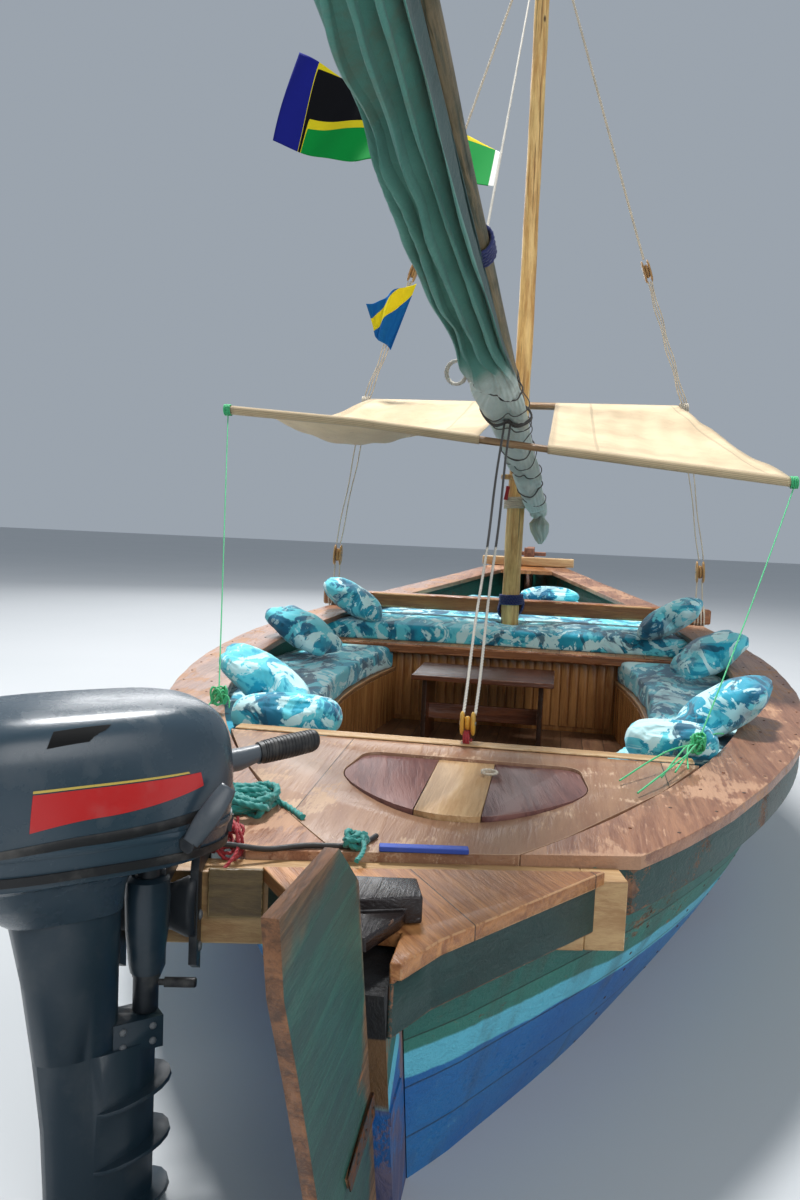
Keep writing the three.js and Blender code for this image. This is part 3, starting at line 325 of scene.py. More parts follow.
def closed_mesh(name, rings, seam=None):
    """A closed skin through rings of points, with its length and girth as UV"""
    shape = bmesh.new()
    rows = [[shape.verts.new(point) for point in ring] for ring in rings]
    plan = shape.loops.layers.uv.new("UVMap")
    count = len(rings[0])
    run = 0.0
    for i in range(len(rows) - 1):
        step = (rings[i + 1][0] - rings[i][0]).length
        for j in range(count):
            k = (j + 1) % count
            face = shape.faces.new((rows[i][j], rows[i][k], rows[i + 1][k], rows[i + 1][j]))
            face.smooth = True
            around = seam or [m / count for m in range(count + 1)]
            corners = ((run, j), (run, j + 1), (run + step, j + 1), (run + step, j))
            for loop, (u, v) in zip(face.loops, corners):
                loop[plan].uv = (u, around[v])
        run += step
    shape.faces.new(rows[0][::-1])
    shape.faces.new(rows[-1])
    bmesh.ops.recalc_face_normals(shape, faces=shape.faces)
    return object_of(shape, name)


def finished(piece, material, body, slot, *nodes):
    """Material, body and the CAD solids that the piece stands for; slot, the finish, is not used"""
    piece.data.materials.clear()
    piece.data.materials.append(material)
    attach(piece, body)
    if nodes:
        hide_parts(*nodes)
    return piece


def sharpened(piece, degrees=35.0):
    piece.data.set_sharp_from_angle(angle=radians(degrees))
    return piece


def girth_angles(steps=400):
    """Angles at equal steps of girth round the midship section"""
    angles = [pi / 2 * i / steps for i in range(steps + 1)]
    points = [skin(0.5, a) for a in angles]
    sums = [0.0]
    for a, b in zip(points, points[1:]):
        sums.append(sums[-1] + (b - a).length)

    def at(share):
        wanted = share * sums[-1]
        i = next(k for k in range(1, steps + 1) if sums[k] >= wanted - 1e-9)
        part = (wanted - sums[i - 1]) / max(sums[i] - sums[i - 1], 1e-9)
        return angles[i - 1] + part * (angles[i] - angles[i - 1])
    return at


def rounds(count):
    """Angles at equal steps round a circle"""
    return [2 * pi * k / count for k in range(count)]


def group(name, inputs, outputs):
    """An empty shader group with named sockets, whose tree is now at work"""
    made = work["tree"] = bpy.data.node_groups.new(name, "ShaderNodeTree")
    for direction, sockets in (("INPUT", inputs), ("OUTPUT", outputs)):
        for label, kind, default in sockets:
            socket = made.interface.new_socket(label, in_out=direction, socket_type="NodeSocket" + kind)
            if default is not None:
                socket.default_value = default
    ends = made.nodes.new("NodeGroupInput").outputs, made.nodes.new("NodeGroupOutput").inputs
    return made, *ends


# Grain that runs along X: bands, fibres and a few knots.
GRAIN, given, result = group("grained wood", [
    ("Vector", "Vector", None), ("Scale", "Float", 1.0), ("Light", "Color", rgb(0.5, 0.3, 0.15)),
    ("Dark", "Color", rgb(0.2, 0.1, 0.05)), ("Knots", "Float", 0.0),
], [("Color", "Color", None), ("Height", "Float", None)])
stretch = put("ShaderNodeVectorMath", {0: given["Vector"], 1: (1.0, 11.0, 11.0)}, operation="MULTIPLY")
sized = put("ShaderNodeVectorMath", {0: stretch.outputs[0], 3: given["Scale"]}, operation="SCALE")
bands = speckle(sized.outputs[0], 2.4, 5.0, 0.6, 0.9)
fibres = speckle(sized.outputs[0], 14.0, 3.0, 0.7)
spots = put("ShaderNodeTexVoronoi", {"Vector": given["Vector"], "Scale": 3.2})
knot = times(spread(spots.outputs["Distance"], 0.16, 0.05), given["Knots"])
share = plus(times(bands, 0.7), times(fibres, 0.3))
share = minus(spread(share, 0.36, 0.64), knot)
GRAIN.links.new(mixed(share, given["Dark"], given["Light"]), result["Color"])
GRAIN.links.new(share, result["Height"])

# Boards that run along X: a random tone for each and a mark at the joints.
JOINTS, given, result = group("board joints", [
    ("Vector", "Vector", None), ("Width", "Float", 0.12), ("Length", "Float", 2.4),
    ("Gap", "Float", 0.02),
], [("Tone", "Float", None), ("Joint", "Float", None)])
axes = put("ShaderNodeSeparateXYZ", {0: given["Vector"]}).outputs
across = calc("DIVIDE", axes[1], given["Width"])
row = calc("FLOOR", across)
shift = put("ShaderNodeTexWhiteNoise", {1: row}, noise_dimensions="1D").outputs[0]
run = plus(calc("DIVIDE", axes[0], given["Length"]), times(shift, 7.0))
cell = put("ShaderNodeCombineXYZ", {0: row, 1: calc("FLOOR", run)})
tone = put("ShaderNodeTexWhiteNoise", {0: cell.outputs[0]}).outputs[0]


def near_joint(value, gap):
    offset = calc("ABSOLUTE", minus(calc("FRACT", value), 0.5))
    edge = minus(0.5, gap)
    return calc("GREATER_THAN", offset, edge)


ratio = calc("DIVIDE", given["Width"], given["Length"])
joint = calc("MAXIMUM", near_joint(across, given["Gap"]), near_joint(run, times(given["Gap"], ratio)))
JOINTS.links.new(tone, result["Tone"])
JOINTS.links.new(joint, result["Joint"])

# Where a finish is worn through: edges, rubbed patches and scratches.
SCUFF, given, result = group("scuffed", [
    ("Vector", "Vector", None), ("Edge", "Float", 0.0), ("Amount", "Float", 0.4), ("Scale", "Float", 3.0),
], [("Mask", "Float", None), ("Dirt", "Float", None)])
patches = speckle(given["Vector"], given["Scale"], 8.0, 0.68, 0.3)
drawn = put("ShaderNodeVectorMath", {0: given["Vector"], 1: (1.0, 9.0, 9.0)}, operation="MULTIPLY")
scratches = speckle(drawn.outputs[0], times(given["Scale"], 4.0), 3.0, 0.6)
both = plus(times(patches, 0.75), times(scratches, 0.25))
both = plus(both, times(given["Edge"], 0.16))
limit = minus(0.8, times(given["Amount"], 0.5))
mask = spread(both, minus(limit, 0.02), plus(limit, 0.03))
SCUFF.links.new(mask, result["Mask"])
SCUFF.links.new(spread(speckle(given["Vector"], 1.3, 5.0), 0.35, 0.7), result["Dirt"])


def use(shared, **inputs):
    return put("ShaderNodeGroup", inputs, node_tree=shared).outputs


def wood_surface(name, light, dark, paint=None, worn=0.35, turn=(0, 0, 0), shift=(0, 0, 0), scale=1.0,
                 knots=0.0, boards=None, rough=(0.45, 0.75), bare=None, dirt=0.45, depth=0.0012, patch=3.0):
    """Wood, bare or painted: grain along X once turned, boards, worn places and dirt"""
    made, place = new_material(name)
    angles = tuple(radians(a) for a in turn)
    lie = mapped(place, Location=shift, Rotation=angles)
    tone, joint = 0.5, 0.0
    if boards:
        width, length, gap = boards
        found = use(JOINTS, Vector=lie, Width=width, Length=length, Gap=gap)
        tone, joint = found["Tone"], found["Joint"]
        shift = put("ShaderNodeCombineXYZ", {0: tone, 1: times(tone, 5.0)}).outputs[0]
        lie = put("ShaderNodeVectorMath", {0: lie, 1: shift}, operation="ADD").outputs[0]
    wood = use(GRAIN, Vector=lie, Scale=scale, Light=light, Dark=dark, Knots=knots)
    edge = noted("edge")
    wear = use(SCUFF, Vector=lie, Edge=edge, Amount=worn, Scale=patch)
    deep = mixed(times(tone, 0.55), wood["Color"], toned(dark, 0.5))
    if paint:
        thin = mixed(times(wood["Height"], 0.35), toned(paint, 0.6), paint)
        color = mixed(wear["Mask"], thin, wood["Color"])
    else:
        faded = bare or tuple(min(c * 1.5 + 0.05, 1.0) for c in light)
        color = mixed(times(wear["Mask"], 0.6), deep, faded)
    color = mixed(times(wear["Dirt"], dirt), color, toned(dark, 0.42))
    color = mixed(times(joint, 0.85), color, (0.015, 0.01, 0.008))
    relief = minus(wood["Height"], times(joint, 3.0))
    relief = minus(relief, times(wear["Mask"], 0.6 if paint else 0.0))
    dress(color, spread(wear["Mask"], 0.0, 1.0, *rough), relief, depth)
    return made


GREEN = (0.012, 0.125, 0.098)
SKY_BLUE = (0.12, 0.52, 0.66)
DEEP_BLUE = (0.008, 0.12, 0.38)

# Green topsides with wood showing, a wavering pale stripe and a blue bottom.
HULL_PAINT, place = new_material("hull_paint")
lie = mapped(place, Rotation=(0, 0, radians(90)))
girth = put("ShaderNodeTexCoord").outputs["UV"]
plank = use(JOINTS, Vector=girth, Width=1.0 / STRAKES, Length=2.6, Gap=0.02)
wood = use(GRAIN, Vector=lie, Scale=1.0, Light=(0.30, 0.17, 0.09), Dark=(0.09, 0.05, 0.03))
wear = use(SCUFF, Vector=lie, Amount=0.44, Scale=2.6)
small = use(SCUFF, Vector=lie, Amount=0.34, Scale=11.0)
axes = axes_of(place)
lifted = spread(axes[1], -1.8, -3.9, 0.0, 0.07)
waver = times(minus(speckle(place, 7.0), 0.5), 0.03)
level_z = plus(minus(axes[2], lifted), waver)
light_green = mixed(plank["Tone"], toned(GREEN, 0.75), (0.03, 0.2, 0.15))
top = mixed(times(wear["Mask"], 0.9), light_green, wood["Color"])
top = mixed(small["Mask"], top, (0.1, 0.075, 0.045))
stripe = mixed(small["Mask"], SKY_BLUE, (0.2, 0.5, 0.56))
bottom = mixed(wear["Dirt"], DEEP_BLUE, (0.03, 0.24, 0.5))
bottom = mixed(times(small["Mask"], 0.5), bottom, (0.2, 0.42, 0.5))
color = mixed(spread(level_z, 0.2, 0.206), bottom, stripe)
color = mixed(spread(level_z, 0.262, 0.27), color, top)
streak = mapped(place, Scale=(6.0, 6.0, 0.5))
run = spread(speckle(streak, 2.0, 6.0), 0.5, 0.72)
color = mixed(times(run, 0.4), color, (0.05, 0.045, 0.03))
color = mixed(times(plank["Joint"], 0.55), color, (0.03, 0.03, 0.02))
relief = minus(wood["Height"], times(plank["Joint"], 2.0))
dress(color, spread(wear["Mask"], 0.0, 1.0, 0.42, 0.78), relief, 0.0015)

strake_at = girth_angles()
seam_steps = [(0.0, 0.0)]        # share of girth, depth
for strake in range(STRAKES):
    seam_steps += [((strake + part) / STRAKES, 0.0) for part in (0.12, 0.3, 0.5, 0.7, 0.88)]
    if strake < STRAKES - 1:
        seam_steps += [((strake + 1 + part) / STRAKES, deep)
                       for part, deep in ((-SEAM_HALF, 0.0), (0.0, SEAM_DEEP), (SEAM_HALF, 0.0))]
seam_steps.append((1.0, 0.0))
for side_name, side in SIDES:
    rings = []
    for i in range(STATIONS + 1):
        s = i / STATIONS
        outer, inner = [], []
        for share, deep in seam_steps:
            angle = strake_at(share)
            here, out = skin(s, angle), skin_out(s, angle, 0.02)
            outer.append(here - out * deep)
            inward = here - out * PLANK
            inward.x = max(inward.x, POST_HALF + 0.0003)
            inner.append(inward)
        inner[-1].z, inner[-1].y = outer[-1].z, outer[-1].y
        inner[0] = Vector((POST_HALF + 0.0003, outer[0].y, outer[0].z + PLANK))
        rings.append([Vector((p.x * side, p.y, p.z)) for p in outer + inner[::-1]])
    girths = [share for share, _deep in seam_steps]
    girths = girths + girths[::-1] + [girths[0]]
    planks = sharpened(closed_mesh("planks_" + side_name, rings, girths), 50)
    finished(planks, HULL_PAINT, "hull", "topside_paint", "planking_" + side_name)


# Keel, stem and sternpost are single baulks of hardwood, the sternpost raked
# aft; iron gudgeons strapped to it carry the rudder.
def eased(shape, name, width, segments=2):
    """An object of a bmesh with its corners eased, and the eased faces marked as edge"""
    rough = object_of(shape, name)
    rough.data.shade_smooth()
    ease = rough.modifiers.new("ease", "BEVEL")
    ease.width, ease.segments, ease.limit_method = width, segments, "ANGLE"
    ease.angle_limit, ease.harden_normals, ease.material = radians(32), True, 1
    rough.data.materials.append(None)
    rough.data.materials.append(None)
    piece = applied(rough)
    data = piece.data
    worn = [float(face.material_index == 1) for face in data.polygons]
    data.attributes.new("edge", "FLOAT", "FACE").data.foreach_set("value", worn)
    data.polygons.foreach_set("material_index", [0] * len(data.polygons))
    return piece


def dressed(node, width=0.004, segments=2, rounded=0.0, within=None):
    """A CAD solid with its edges eased, and its upright corners rounded inside a plan box"""
    shape = bmesh.new()
    shape.from_mesh(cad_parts[node].data)
    bmesh.ops.remove_doubles(shape, verts=shape.verts, dist=1e-5)
    bmesh.ops.dissolve_limit(shape, angle_limit=radians(0.8), verts=shape.verts, edges=shape.edges)
    if rounded:
        x0, x1, y0, y1 = within
        uprights = []
        for edge in shape.edges:
            at, end = (vert.co for vert in edge.verts)
            inside = x0 < at.x < x1 and y0 < at.y < y1
            if inside and abs((at - end).normalized().z) > 0.98 and edge.calc_face_angle(0) > radians(14):
                uprights.append(edge)
        bmesh.ops.bevel(shape, geom=uprights, offset=rounded, segments=6, profile=0.5, affect="EDGES",
                        clamp_overlap=True)
        bmesh.ops.recalc_face_normals(shape, faces=shape.faces)
    return eased(shape, node + "_dressed", width, segments)


def solid(node, material, slot, width=0.004, body="hull", **more):
    """The dressed CAD solid of one node, finished"""
    return finished(dressed(node, width, **more), material, body, slot, node)


def sawn(piece, planes, name):
    """A copy of a piece with what lies beyond each plane taken off and the cuts closed"""
    shape = bmesh.new()
    shape.from_mesh(piece.data)
    for at, out in planes:
        whole = shape.verts[:] + shape.edges[:] + shape.faces[:]
        cut = bmesh.ops.bisect_plane(shape, geom=whole, plane_co=at, plane_no=out, clear_outer=True)
        rim = [e for e in cut["geom_cut"] if isinstance(e, bmesh.types.BMEdge)]
        bmesh.ops.holes_fill(shape, edges=rim)
    bmesh.ops.recalc_face_normals(shape, faces=shape.faces)
    return object_of(shape, name)


BOTTOM_PAINT = wood_surface("bottom_paint", (0.30, 0.18, 0.1), (0.1, 0.06, 0.03), paint=DEEP_BLUE, worn=0.4,
                            turn=(0, 0, 90))
solid("keel", BOTTOM_PAINT, "bottom_paint", 0.006)

# The sternpost's paint: blue, a pale stripe, green, and brown wood near its head.
POST_PAINT, place = new_material("post_paint")
lie = mapped(place, Rotation=(0, radians(90), 0))
wood = use(GRAIN, Vector=lie, Scale=1.2, Light=(0.36, 0.19, 0.09), Dark=(0.12, 0.05, 0.03))
edge = noted("edge")
wear = use(SCUFF, Vector=lie, Edge=edge, Amount=0.62, Scale=5.0)
height = axes_of(place)[2]
height = plus(height, times(speckle(place, 9.0), 0.03))
run = axes_of(place)[1]
slant = minus(height, times(plus(run, 3.95), 0.9))
color = mixed(spread(slant, 0.27, 0.278), DEEP_BLUE, SKY_BLUE)
color = mixed(spread(slant, 0.34, 0.35), color, GREEN)
share = times(wear["Mask"], spread(height, 0.2, 0.5, 0.5, 1.0))
color = mixed(share, color, wood["Color"])
aft_face = axes_of(put("ShaderNodeNewGeometry").outputs["Normal"])[1]
bare = times(spread(aft_face, -0.5, -0.7), spread(height, 0.3, 0.34))
color = mixed(bare, color, (0.16, 0.085, 0.035))
color = mixed(spread(height, 0.478, 0.484), color, (0.008, 0.009, 0.01))
color = mixed(times(wear["Dirt"], 0.35), color, (0.05, 0.035, 0.02))
dress(color, spread(wear["Mask"], 0.0, 1.0, 0.45, 0.75), wood["Height"], 0.0015)

solid("sternpost", POST_PAINT, "topside_paint")
RAIL_WOOD = wood_surface("rail_wood", (0.50, 0.245, 0.135), (0.25, 0.105, 0.06), worn=0.4, turn=(0, 0, 90),
                         bare=(0.60, 0.36, 0.22), dirt=0.3, rough=(0.35, 0.7))
STEM_WOOD = wood_surface("stem_wood", (0.36, 0.15, 0.08), (0.13, 0.05, 0.03), worn=0.42, turn=(0, 60, 90))
solid("stem", STEM_WOOD, "rail_wood", 0.008)

# The cap rail lies flat on the plank ends all round, reddish hardwood scarfed
# from several lengths and worn pale where people sit; below it runs a dark
# green rubbing strake.
RAIL_STATIONS = 110
BEAM = {"x": -0.02, "y": -3.53, "turn": radians(12), "wide": 0.08, "top": 0.6}


def rounded_ring(x0, x1, z0, z1, radius, steps=3):
    """A section with rounded corners, anticlockwise"""
    ring = []
    for cx, cz, start in ((x1 - radius, z0 + radius, -90), (x1 - radius, z1 - radius, 0),
                          (x0 + radius, z1 - radius, 90), (x0 + radius, z0 + radius, 180)):
        for i in range(steps + 1):
            a = radians(start + 90 * i / steps)
            ring.append((cx + radius * cos(a), cz + radius * sin(a)))
    return ring


def mark_edges(piece):
    """Marks the corners of a long section, where a finish wears first"""
    data = piece.data
    data.attributes.new("edge", "FLOAT", "POINT")
    shape = bmesh.new()
    shape.from_mesh(data)
    layer = shape.verts.layers.float.get("edge")
    for vert in shape.verts:
        turns = [e.calc_face_angle(0) for e in vert.link_edges if e.is_manifold]
        vert[layer] = min(max(turns) * 1.6, 1.0) if turns else 0.0
    shape.to_mesh(data)
    shape.free()
    return piece


def rail_strip(name, side, section):
    """A strip all along the plank ends, cut off at the motor beam's fore face"""
    rings = []
    for i in range(RAIL_STATIONS + 1):
        edge = skin(i / RAIL_STATIONS, pi / 2)
        rings.append([Vector((x * side, edge.y, z)) for x, z in section(edge, i)])
    whole = closed_mesh("strip", rings)
    across = Vector((-sin(BEAM["turn"]), cos(BEAM["turn"]), 0))
    at = Vector((BEAM["x"], BEAM["y"], 0)) + across * (BEAM["wide"] / 2 + 0.0005)
    strip = sawn(whole, [(at, -across)], name)
    bpy.data.objects.remove(whole)
    return strip


def cap_section(edge, i):
    inner = max(edge.x - RAIL["inward"], POST_HALF + 0.0006)
    hewn = 0.0015 * sin(i * 1.7) + 0.001 * sin(i * 0.61)
    return rounded_ring(inner, edge.x + RAIL["outward"] + hewn, edge.z, edge.z + RAIL["thick"], 0.0025)


def strake_section(edge, i):
    return rounded_ring(edge.x + 0.0005, edge.x + 0.034, edge.z - 0.1, edge.z - 0.0005, 0.005)


STRAKE_PAINT = wood_surface("strake_paint", (0.30, 0.15, 0.08), (0.1, 0.05, 0.03), paint=(0.006, 0.07, 0.062),
                            worn=0.36, turn=(0, 0, 90), patch=6.0)
for side_name, side in SIDES:
    cap = mark_edges(sharpened(rail_strip("cap_board_" + side_name, side, cap_section)))
    finished(cap, RAIL_WOOD, "hull", "rail_wood", "cap_rail_" + side_name)
    strake = mark_edges(sharpened(rail_strip("strake_" + side_name, side, strake_section)))
    finished(strake, STRAKE_PAINT, "hull", "strake_paint", "rubbing_strake_" + side_name)

STERN_WOOD = wood_surface("stern_wood", (0.62, 0.28, 0.10), (0.3, 0.11, 0.04), worn=0.35, turn=(0, 0, 55),
                          boards=(0.34, 3.0, 0.004), rough=(0.3, 0.55), bare=(0.70, 0.42, 0.22), dirt=0.25)


stern, top_line, top_out = dressed("stern_boards", 0.003), Vector((0, -3.85, 0.5725)), Vector((0, -0.046, 1))
for number, (finish, slot) in enumerate(((STRAKE_PAINT, "strake_paint"), (STERN_WOOD, "rail_wood"))):
    out = top_out * (1 - 2 * number)
    boards = sawn(stern, [(top_line - out * 0.0003, out)], f"stern_boards_dressed_{number}")
    finished(boards, finish, "hull", slot, "stern_boards")
bpy.data.objects.remove(stern)

# The aft deck is thin worn boards between the rails, with a pale strip nailed
# along its fore edge. Its hatch is three loose boards, the middle one pine.
DECK_WOOD = wood_surface("deck_wood", (0.62, 0.36, 0.21), (0.40, 0.20, 0.115), worn=0.5, turn=(0, 0, 90),
                         scale=0.7, boards=(0.9, 4.2, 0.0016), shift=(0, 0.31, 0), bare=(0.74, 0.52, 0.34),
                         dirt=0.3, rough=(0.32, 0.62), patch=4.5)
PINE = wood_surface("pine", (0.72, 0.47, 0.22), (0.46, 0.25, 0.1), worn=0.25, knots=1.0, dirt=0.12,
                    bare=(0.8, 0.6, 0.36), rough=(0.45, 0.6))
PINE_FORE = wood_surface("pine_lengthways", (0.86, 0.56, 0.28), (0.62, 0.35, 0.15), worn=0.3, dirt=0.15,
                         bare=(0.74, 0.54, 0.34), turn=(0, 0, 90), rough=(0.45, 0.65))
DECK_EDGE = -2.64
HATCH_SEAMS = (-0.035, 0.125)
HATCH_PLAN = (-0.29, 0.40, -3.30, -2.70)
solid("aft_deck", DECK_WOOD, "deck_wood", 0.0012, rounded=0.05, within=HATCH_PLAN)


def timber(name, length, wide, thick, place, turn=0.0, ease=0.004):
    """One sawn board with eased edges, its length along X before the turn about Z"""
    shape = bmesh.new()
    bmesh.ops.create_cube(shape, size=1.0)
    bmesh.ops.scale(shape, vec=(length, wide, thick), verts=shape.verts)
    pose = Matrix.Translation(place) @ Matrix.Rotation(radians(turn), 4, "Z")
    bmesh.ops.transform(shape, matrix=pose, verts=shape.verts)
    return eased(shape, name, ease)


deck_strip = timber("deck_strip", 1.37, 0.055, 0.007, (0, DECK_EDGE + 0.029, rail_top(DECK_EDGE) + 0.0036))
finished(deck_strip, PINE, "hull", "pine")
PLUM_WOOD = wood_surface("plum_wood", (0.30, 0.13, 0.105), (0.15, 0.055, 0.05), worn=0.4, turn=(0, 0, 80),
                         bare=(0.46, 0.28, 0.22), dirt=0.3)
SAW_HALF = 0.0012
cover = dressed("hatch_cover", 0.002, rounded=0.05, within=HATCH_PLAN)
limits = (-9.0, *HATCH_SEAMS, 9.0)
for number, finish in enumerate((PLUM_WOOD, PINE_FORE, PLUM_WOOD)):
    low, high = limits[number] + SAW_HALF, limits[number + 1] - SAW_HALF
    cuts = [((low, 0, 0), (-1, 0, 0)), ((high, 0, 0), (1, 0, 0))]
    board = sawn(cover, cuts, f"hatch_cover_dressed_{number}")
    finished(board, finish, "hatch", "deck_wood", "hatch_cover")
bpy.data.objects.remove(cover)

for node in ("hatch_bearers", "aft_wall", "motor_beam"):
    solid(node, PINE, "pine")

# The nails are iron clenched over small heads, two to a board at each frame,
# in rows down the planks and round the rails.
IRON, place = new_material("rusty_iron", 0.7, Metallic=0.6)
rust = speckle(place, 90.0, 5.0)
dress(mixed(spread(rust, 0.4, 0.62), (0.07, 0.06, 0.055), (0.2, 0.075, 0.03)),
      spread(rust, 0.35, 0.65, 0.5, 0.85), rust, 0.0006)


def new_tree(name, inputs):
    """An empty Geometry Nodes tree with named inputs, which is now at work"""
    tree = work["tree"] = bpy.data.node_groups.new(name, "GeometryNodeTree")
    tree.interface.new_socket("Geometry", in_out="INPUT", socket_type="NodeSocketGeometry")
    for label, kind, default in inputs:
        socket = tree.interface.new_socket(label, in_out="INPUT", socket_type="NodeSocket" + kind)
        if default is not None:
            socket.default_value = default
    tree.interface.new_socket("Geometry", in_out="OUTPUT", socket_type="NodeSocketGeometry")
    return tree, tree.nodes.new("NodeGroupInput").outputs


def close_tree(tree, made, material):
    """Every tree ends by making its copies real and giving them their material"""
    real = put("GeometryNodeRealizeInstances", {0: made})
    smooth = put("GeometryNodeSetShadeSmooth", {0: real.outputs[0]})
    finish = put("GeometryNodeSetMaterial", {0: smooth.outputs[0], "Material": material})
    end = tree.nodes.new("NodeGroupOutput")
    tree.links.new(finish.outputs[0], end.inputs[0])
    return tree


def grown(piece, tree, **values):
    """The mesh that a tree makes from a piece, with the tree's inputs set by name"""
    changer = piece.modifiers.new("tree", "NODES")
    changer.node_group = tree
    for socket in tree.interface.items_tree:
        if socket.in_out == "INPUT" and socket.name in values:
            changer[socket.identifier] = values[socket.name]
    return applied(piece)


# A low round head on every point, along its out attribute.
tree, given = new_tree("nail heads", [
    ("Radius", "Float", 0.005), ("Rise", "Float", 0.0015), ("Material", "Material", None)])
head = put("GeometryNodeMeshUVSphere", {"Segments": 8, "Rings": 5, "Radius": 1.0})
out = put("GeometryNodeInputNamedAttribute", {"Name": "out"}, data_type="FLOAT_VECTOR")
turn = put("FunctionNodeAlignRotationToVector", {"Vector": out.outputs[0]}, axis="Z")
size = put("ShaderNodeCombineXYZ", {0: given["Radius"], 1: given["Radius"], 2: given["Rise"]})
points = put("GeometryNodeMeshToPoints", {0: given["Geometry"]})
heads = put("GeometryNodeInstanceOnPoints", {
    "Points": points.outputs[0], "Instance": head.outputs[0],
    "Rotation": turn.outputs[0], "Scale": size.outputs[0]})
NAILS = close_tree(tree, heads.outputs[0], given["Material"])


def nail_heads(name, places, body, material=IRON, radius=0.005, rise=0.0016, slot="black_paint"):
    """Nail heads at (place, outward direction) pairs"""
    data = bpy.data.meshes.new(name)
    data.from_pydata([tuple(at) for at, _out in places], [], [])
    outs = data.attributes.new("out", "FLOAT_VECTOR", "POINT")
    outs.data.foreach_set("vector", [c for _at, out in places for c in out])
    piece = grown(new_object(name, data), NAILS, Radius=radius, Rise=rise, Material=material)
    return finished(piece, material, body, slot)


FRAMES = 19
for side_name, side in SIDES:
    places = []
    for i in range(1, FRAMES):
        s = 0.04 + 0.92 * i / FRAMES
        for strake in range(3, STRAKES):
            for part in (0.22, 0.78):
                angle = strake_at((strake + part) / STRAKES)
                if skin(s, angle).z > along(RAILS, 2, s) - 0.15:
                    continue
                out = skin_out(s, angle, 0.01)
                at = skin(s + (0.0015 if part > 0.5 else -0.0015), angle)
                places.append((Vector((at.x * side, at.y, at.z)), Vector((out.x * side, out.y, out.z))))
    for i in range(1, 40):
        edge = skin(0.06 + 0.9 * i / 40, pi / 2)
        for inset in (0.02, -0.09):
            if edge.x + inset > 0.06:
                at = Vector(((edge.x + inset) * side, edge.y, edge.z + RAIL["thick"]))
                places.append((at, Vector((0, 0, 1))))
    nail_heads("nails_" + side_name, places, "hull")

# Benches run down both sides of the well: a plank top on a front of narrow
# upright staves, varnished. A slatted wall closes the well forward, under the
# edge of the fore platform.
VARNISH = wood_surface("varnished_wood", (0.74, 0.36, 0.12), (0.38, 0.15, 0.045), worn=0.3, turn=(0, 90, 0),
                       bare=(0.6, 0.33, 0.14), rough=(0.22, 0.5), dirt=0.3, depth=0.0008)
BENCH_WOOD = wood_surface("bench_wood", (0.66, 0.36, 0.16), (0.34, 0.15, 0.065), worn=0.4, turn=(0, 0, 90),
                          boards=(0.15, 2.6, 0.012), rough=(0.35, 0.65), dirt=0.35)
SOLE_WOOD = wood_surface("sole_wood", (0.38, 0.2, 0.1), (0.17, 0.075, 0.04), worn=0.45, turn=(0, 0, 90),
                         boards=(0.11, 2.2, 0.02), dirt=0.55)
STAVE = {"wide": 0.052, "thick": 0.014, "gap": 0.003}

# Upright staves side by side along a curve, each rounded by its three faces.
tree, given = new_tree("staves", [
    ("Wide", "Float", 0.05), ("Thick", "Float", 0.014), ("Tall", "Float", 0.27),
    ("Material", "Material", None)])
path = put("GeometryNodeResampleCurve", {"Curve": given["Geometry"], "Length": given["Wide"]},
           mode="LENGTH")
points = put("GeometryNodeCurveToPoints", {0: path.outputs[0]}, mode="EVALUATED")
half = times(given["Wide"], 0.47)
stave = put("GeometryNodeMeshCylinder", {"Vertices": 10, "Radius": half, "Depth": given["Tall"]})
share = calc("DIVIDE", given["Thick"], given["Wide"])
flat = put("ShaderNodeCombineXYZ", {0: 1.0, 1: share, 2: 1.0})
turn = put("FunctionNodeAlignRotationToVector", {"Vector": points.outputs["Tangent"]},
           axis="X", pivot_axis="Z")
copies = put("GeometryNodeInstanceOnPoints", {
    "Points": points.outputs[0], "Instance": stave.outputs[0],
    "Rotation": turn.outputs[0], "Scale": flat.outputs[0]})
STAVES = close_tree(tree, copies.outputs[0], given["Material"])


def line_curve(name, points):
    """A bare curve through points, for a tree to follow"""
    data = bpy.data.curves.new(name, "CURVE")
    data.dimensions = "3D"
    spline = data.splines.new("POLY")
    spline.points.add(len(points) - 1)
    for point, place in zip(spline.points, points):
        point.co = (*place, 1.0)
    return new_object(name, data)


for side_name, side in SIDES:
    front = "bench_front_" + side_name
    corners = {}
    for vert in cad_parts[front].data.vertices:
        x, y = vert.co.x, round(vert.co.y, 3)
        if y not in corners or abs(x) < abs(corners[y]):
            corners[y] = x
    low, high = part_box(front)
    face = [(corners[y] + side * 0.012, y, (low.z + high.z) / 2) for y in sorted(corners)]
    row = grown(line_curve("bench_staves_" + side_name, face), STAVES, Wide=STAVE["wide"],
                Thick=STAVE["thick"] * 2, Tall=high.z - low.z - 0.001, Material=VARNISH)
    finished(sharpened(row), VARNISH, "hull", "varnished_wood")
    solid(front, VARNISH, "varnished_wood", 0.002)
    solid("bench_top_" + side_name, BENCH_WOOD, "varnished_wood", 0.005)

solid("sole", SOLE_WOOD, "deck_wood", 0.003)
solid("platform", BENCH_WOOD, "deck_wood", 0.006)
solid("slatted_wall", VARNISH, "varnished_wood", 0.005)

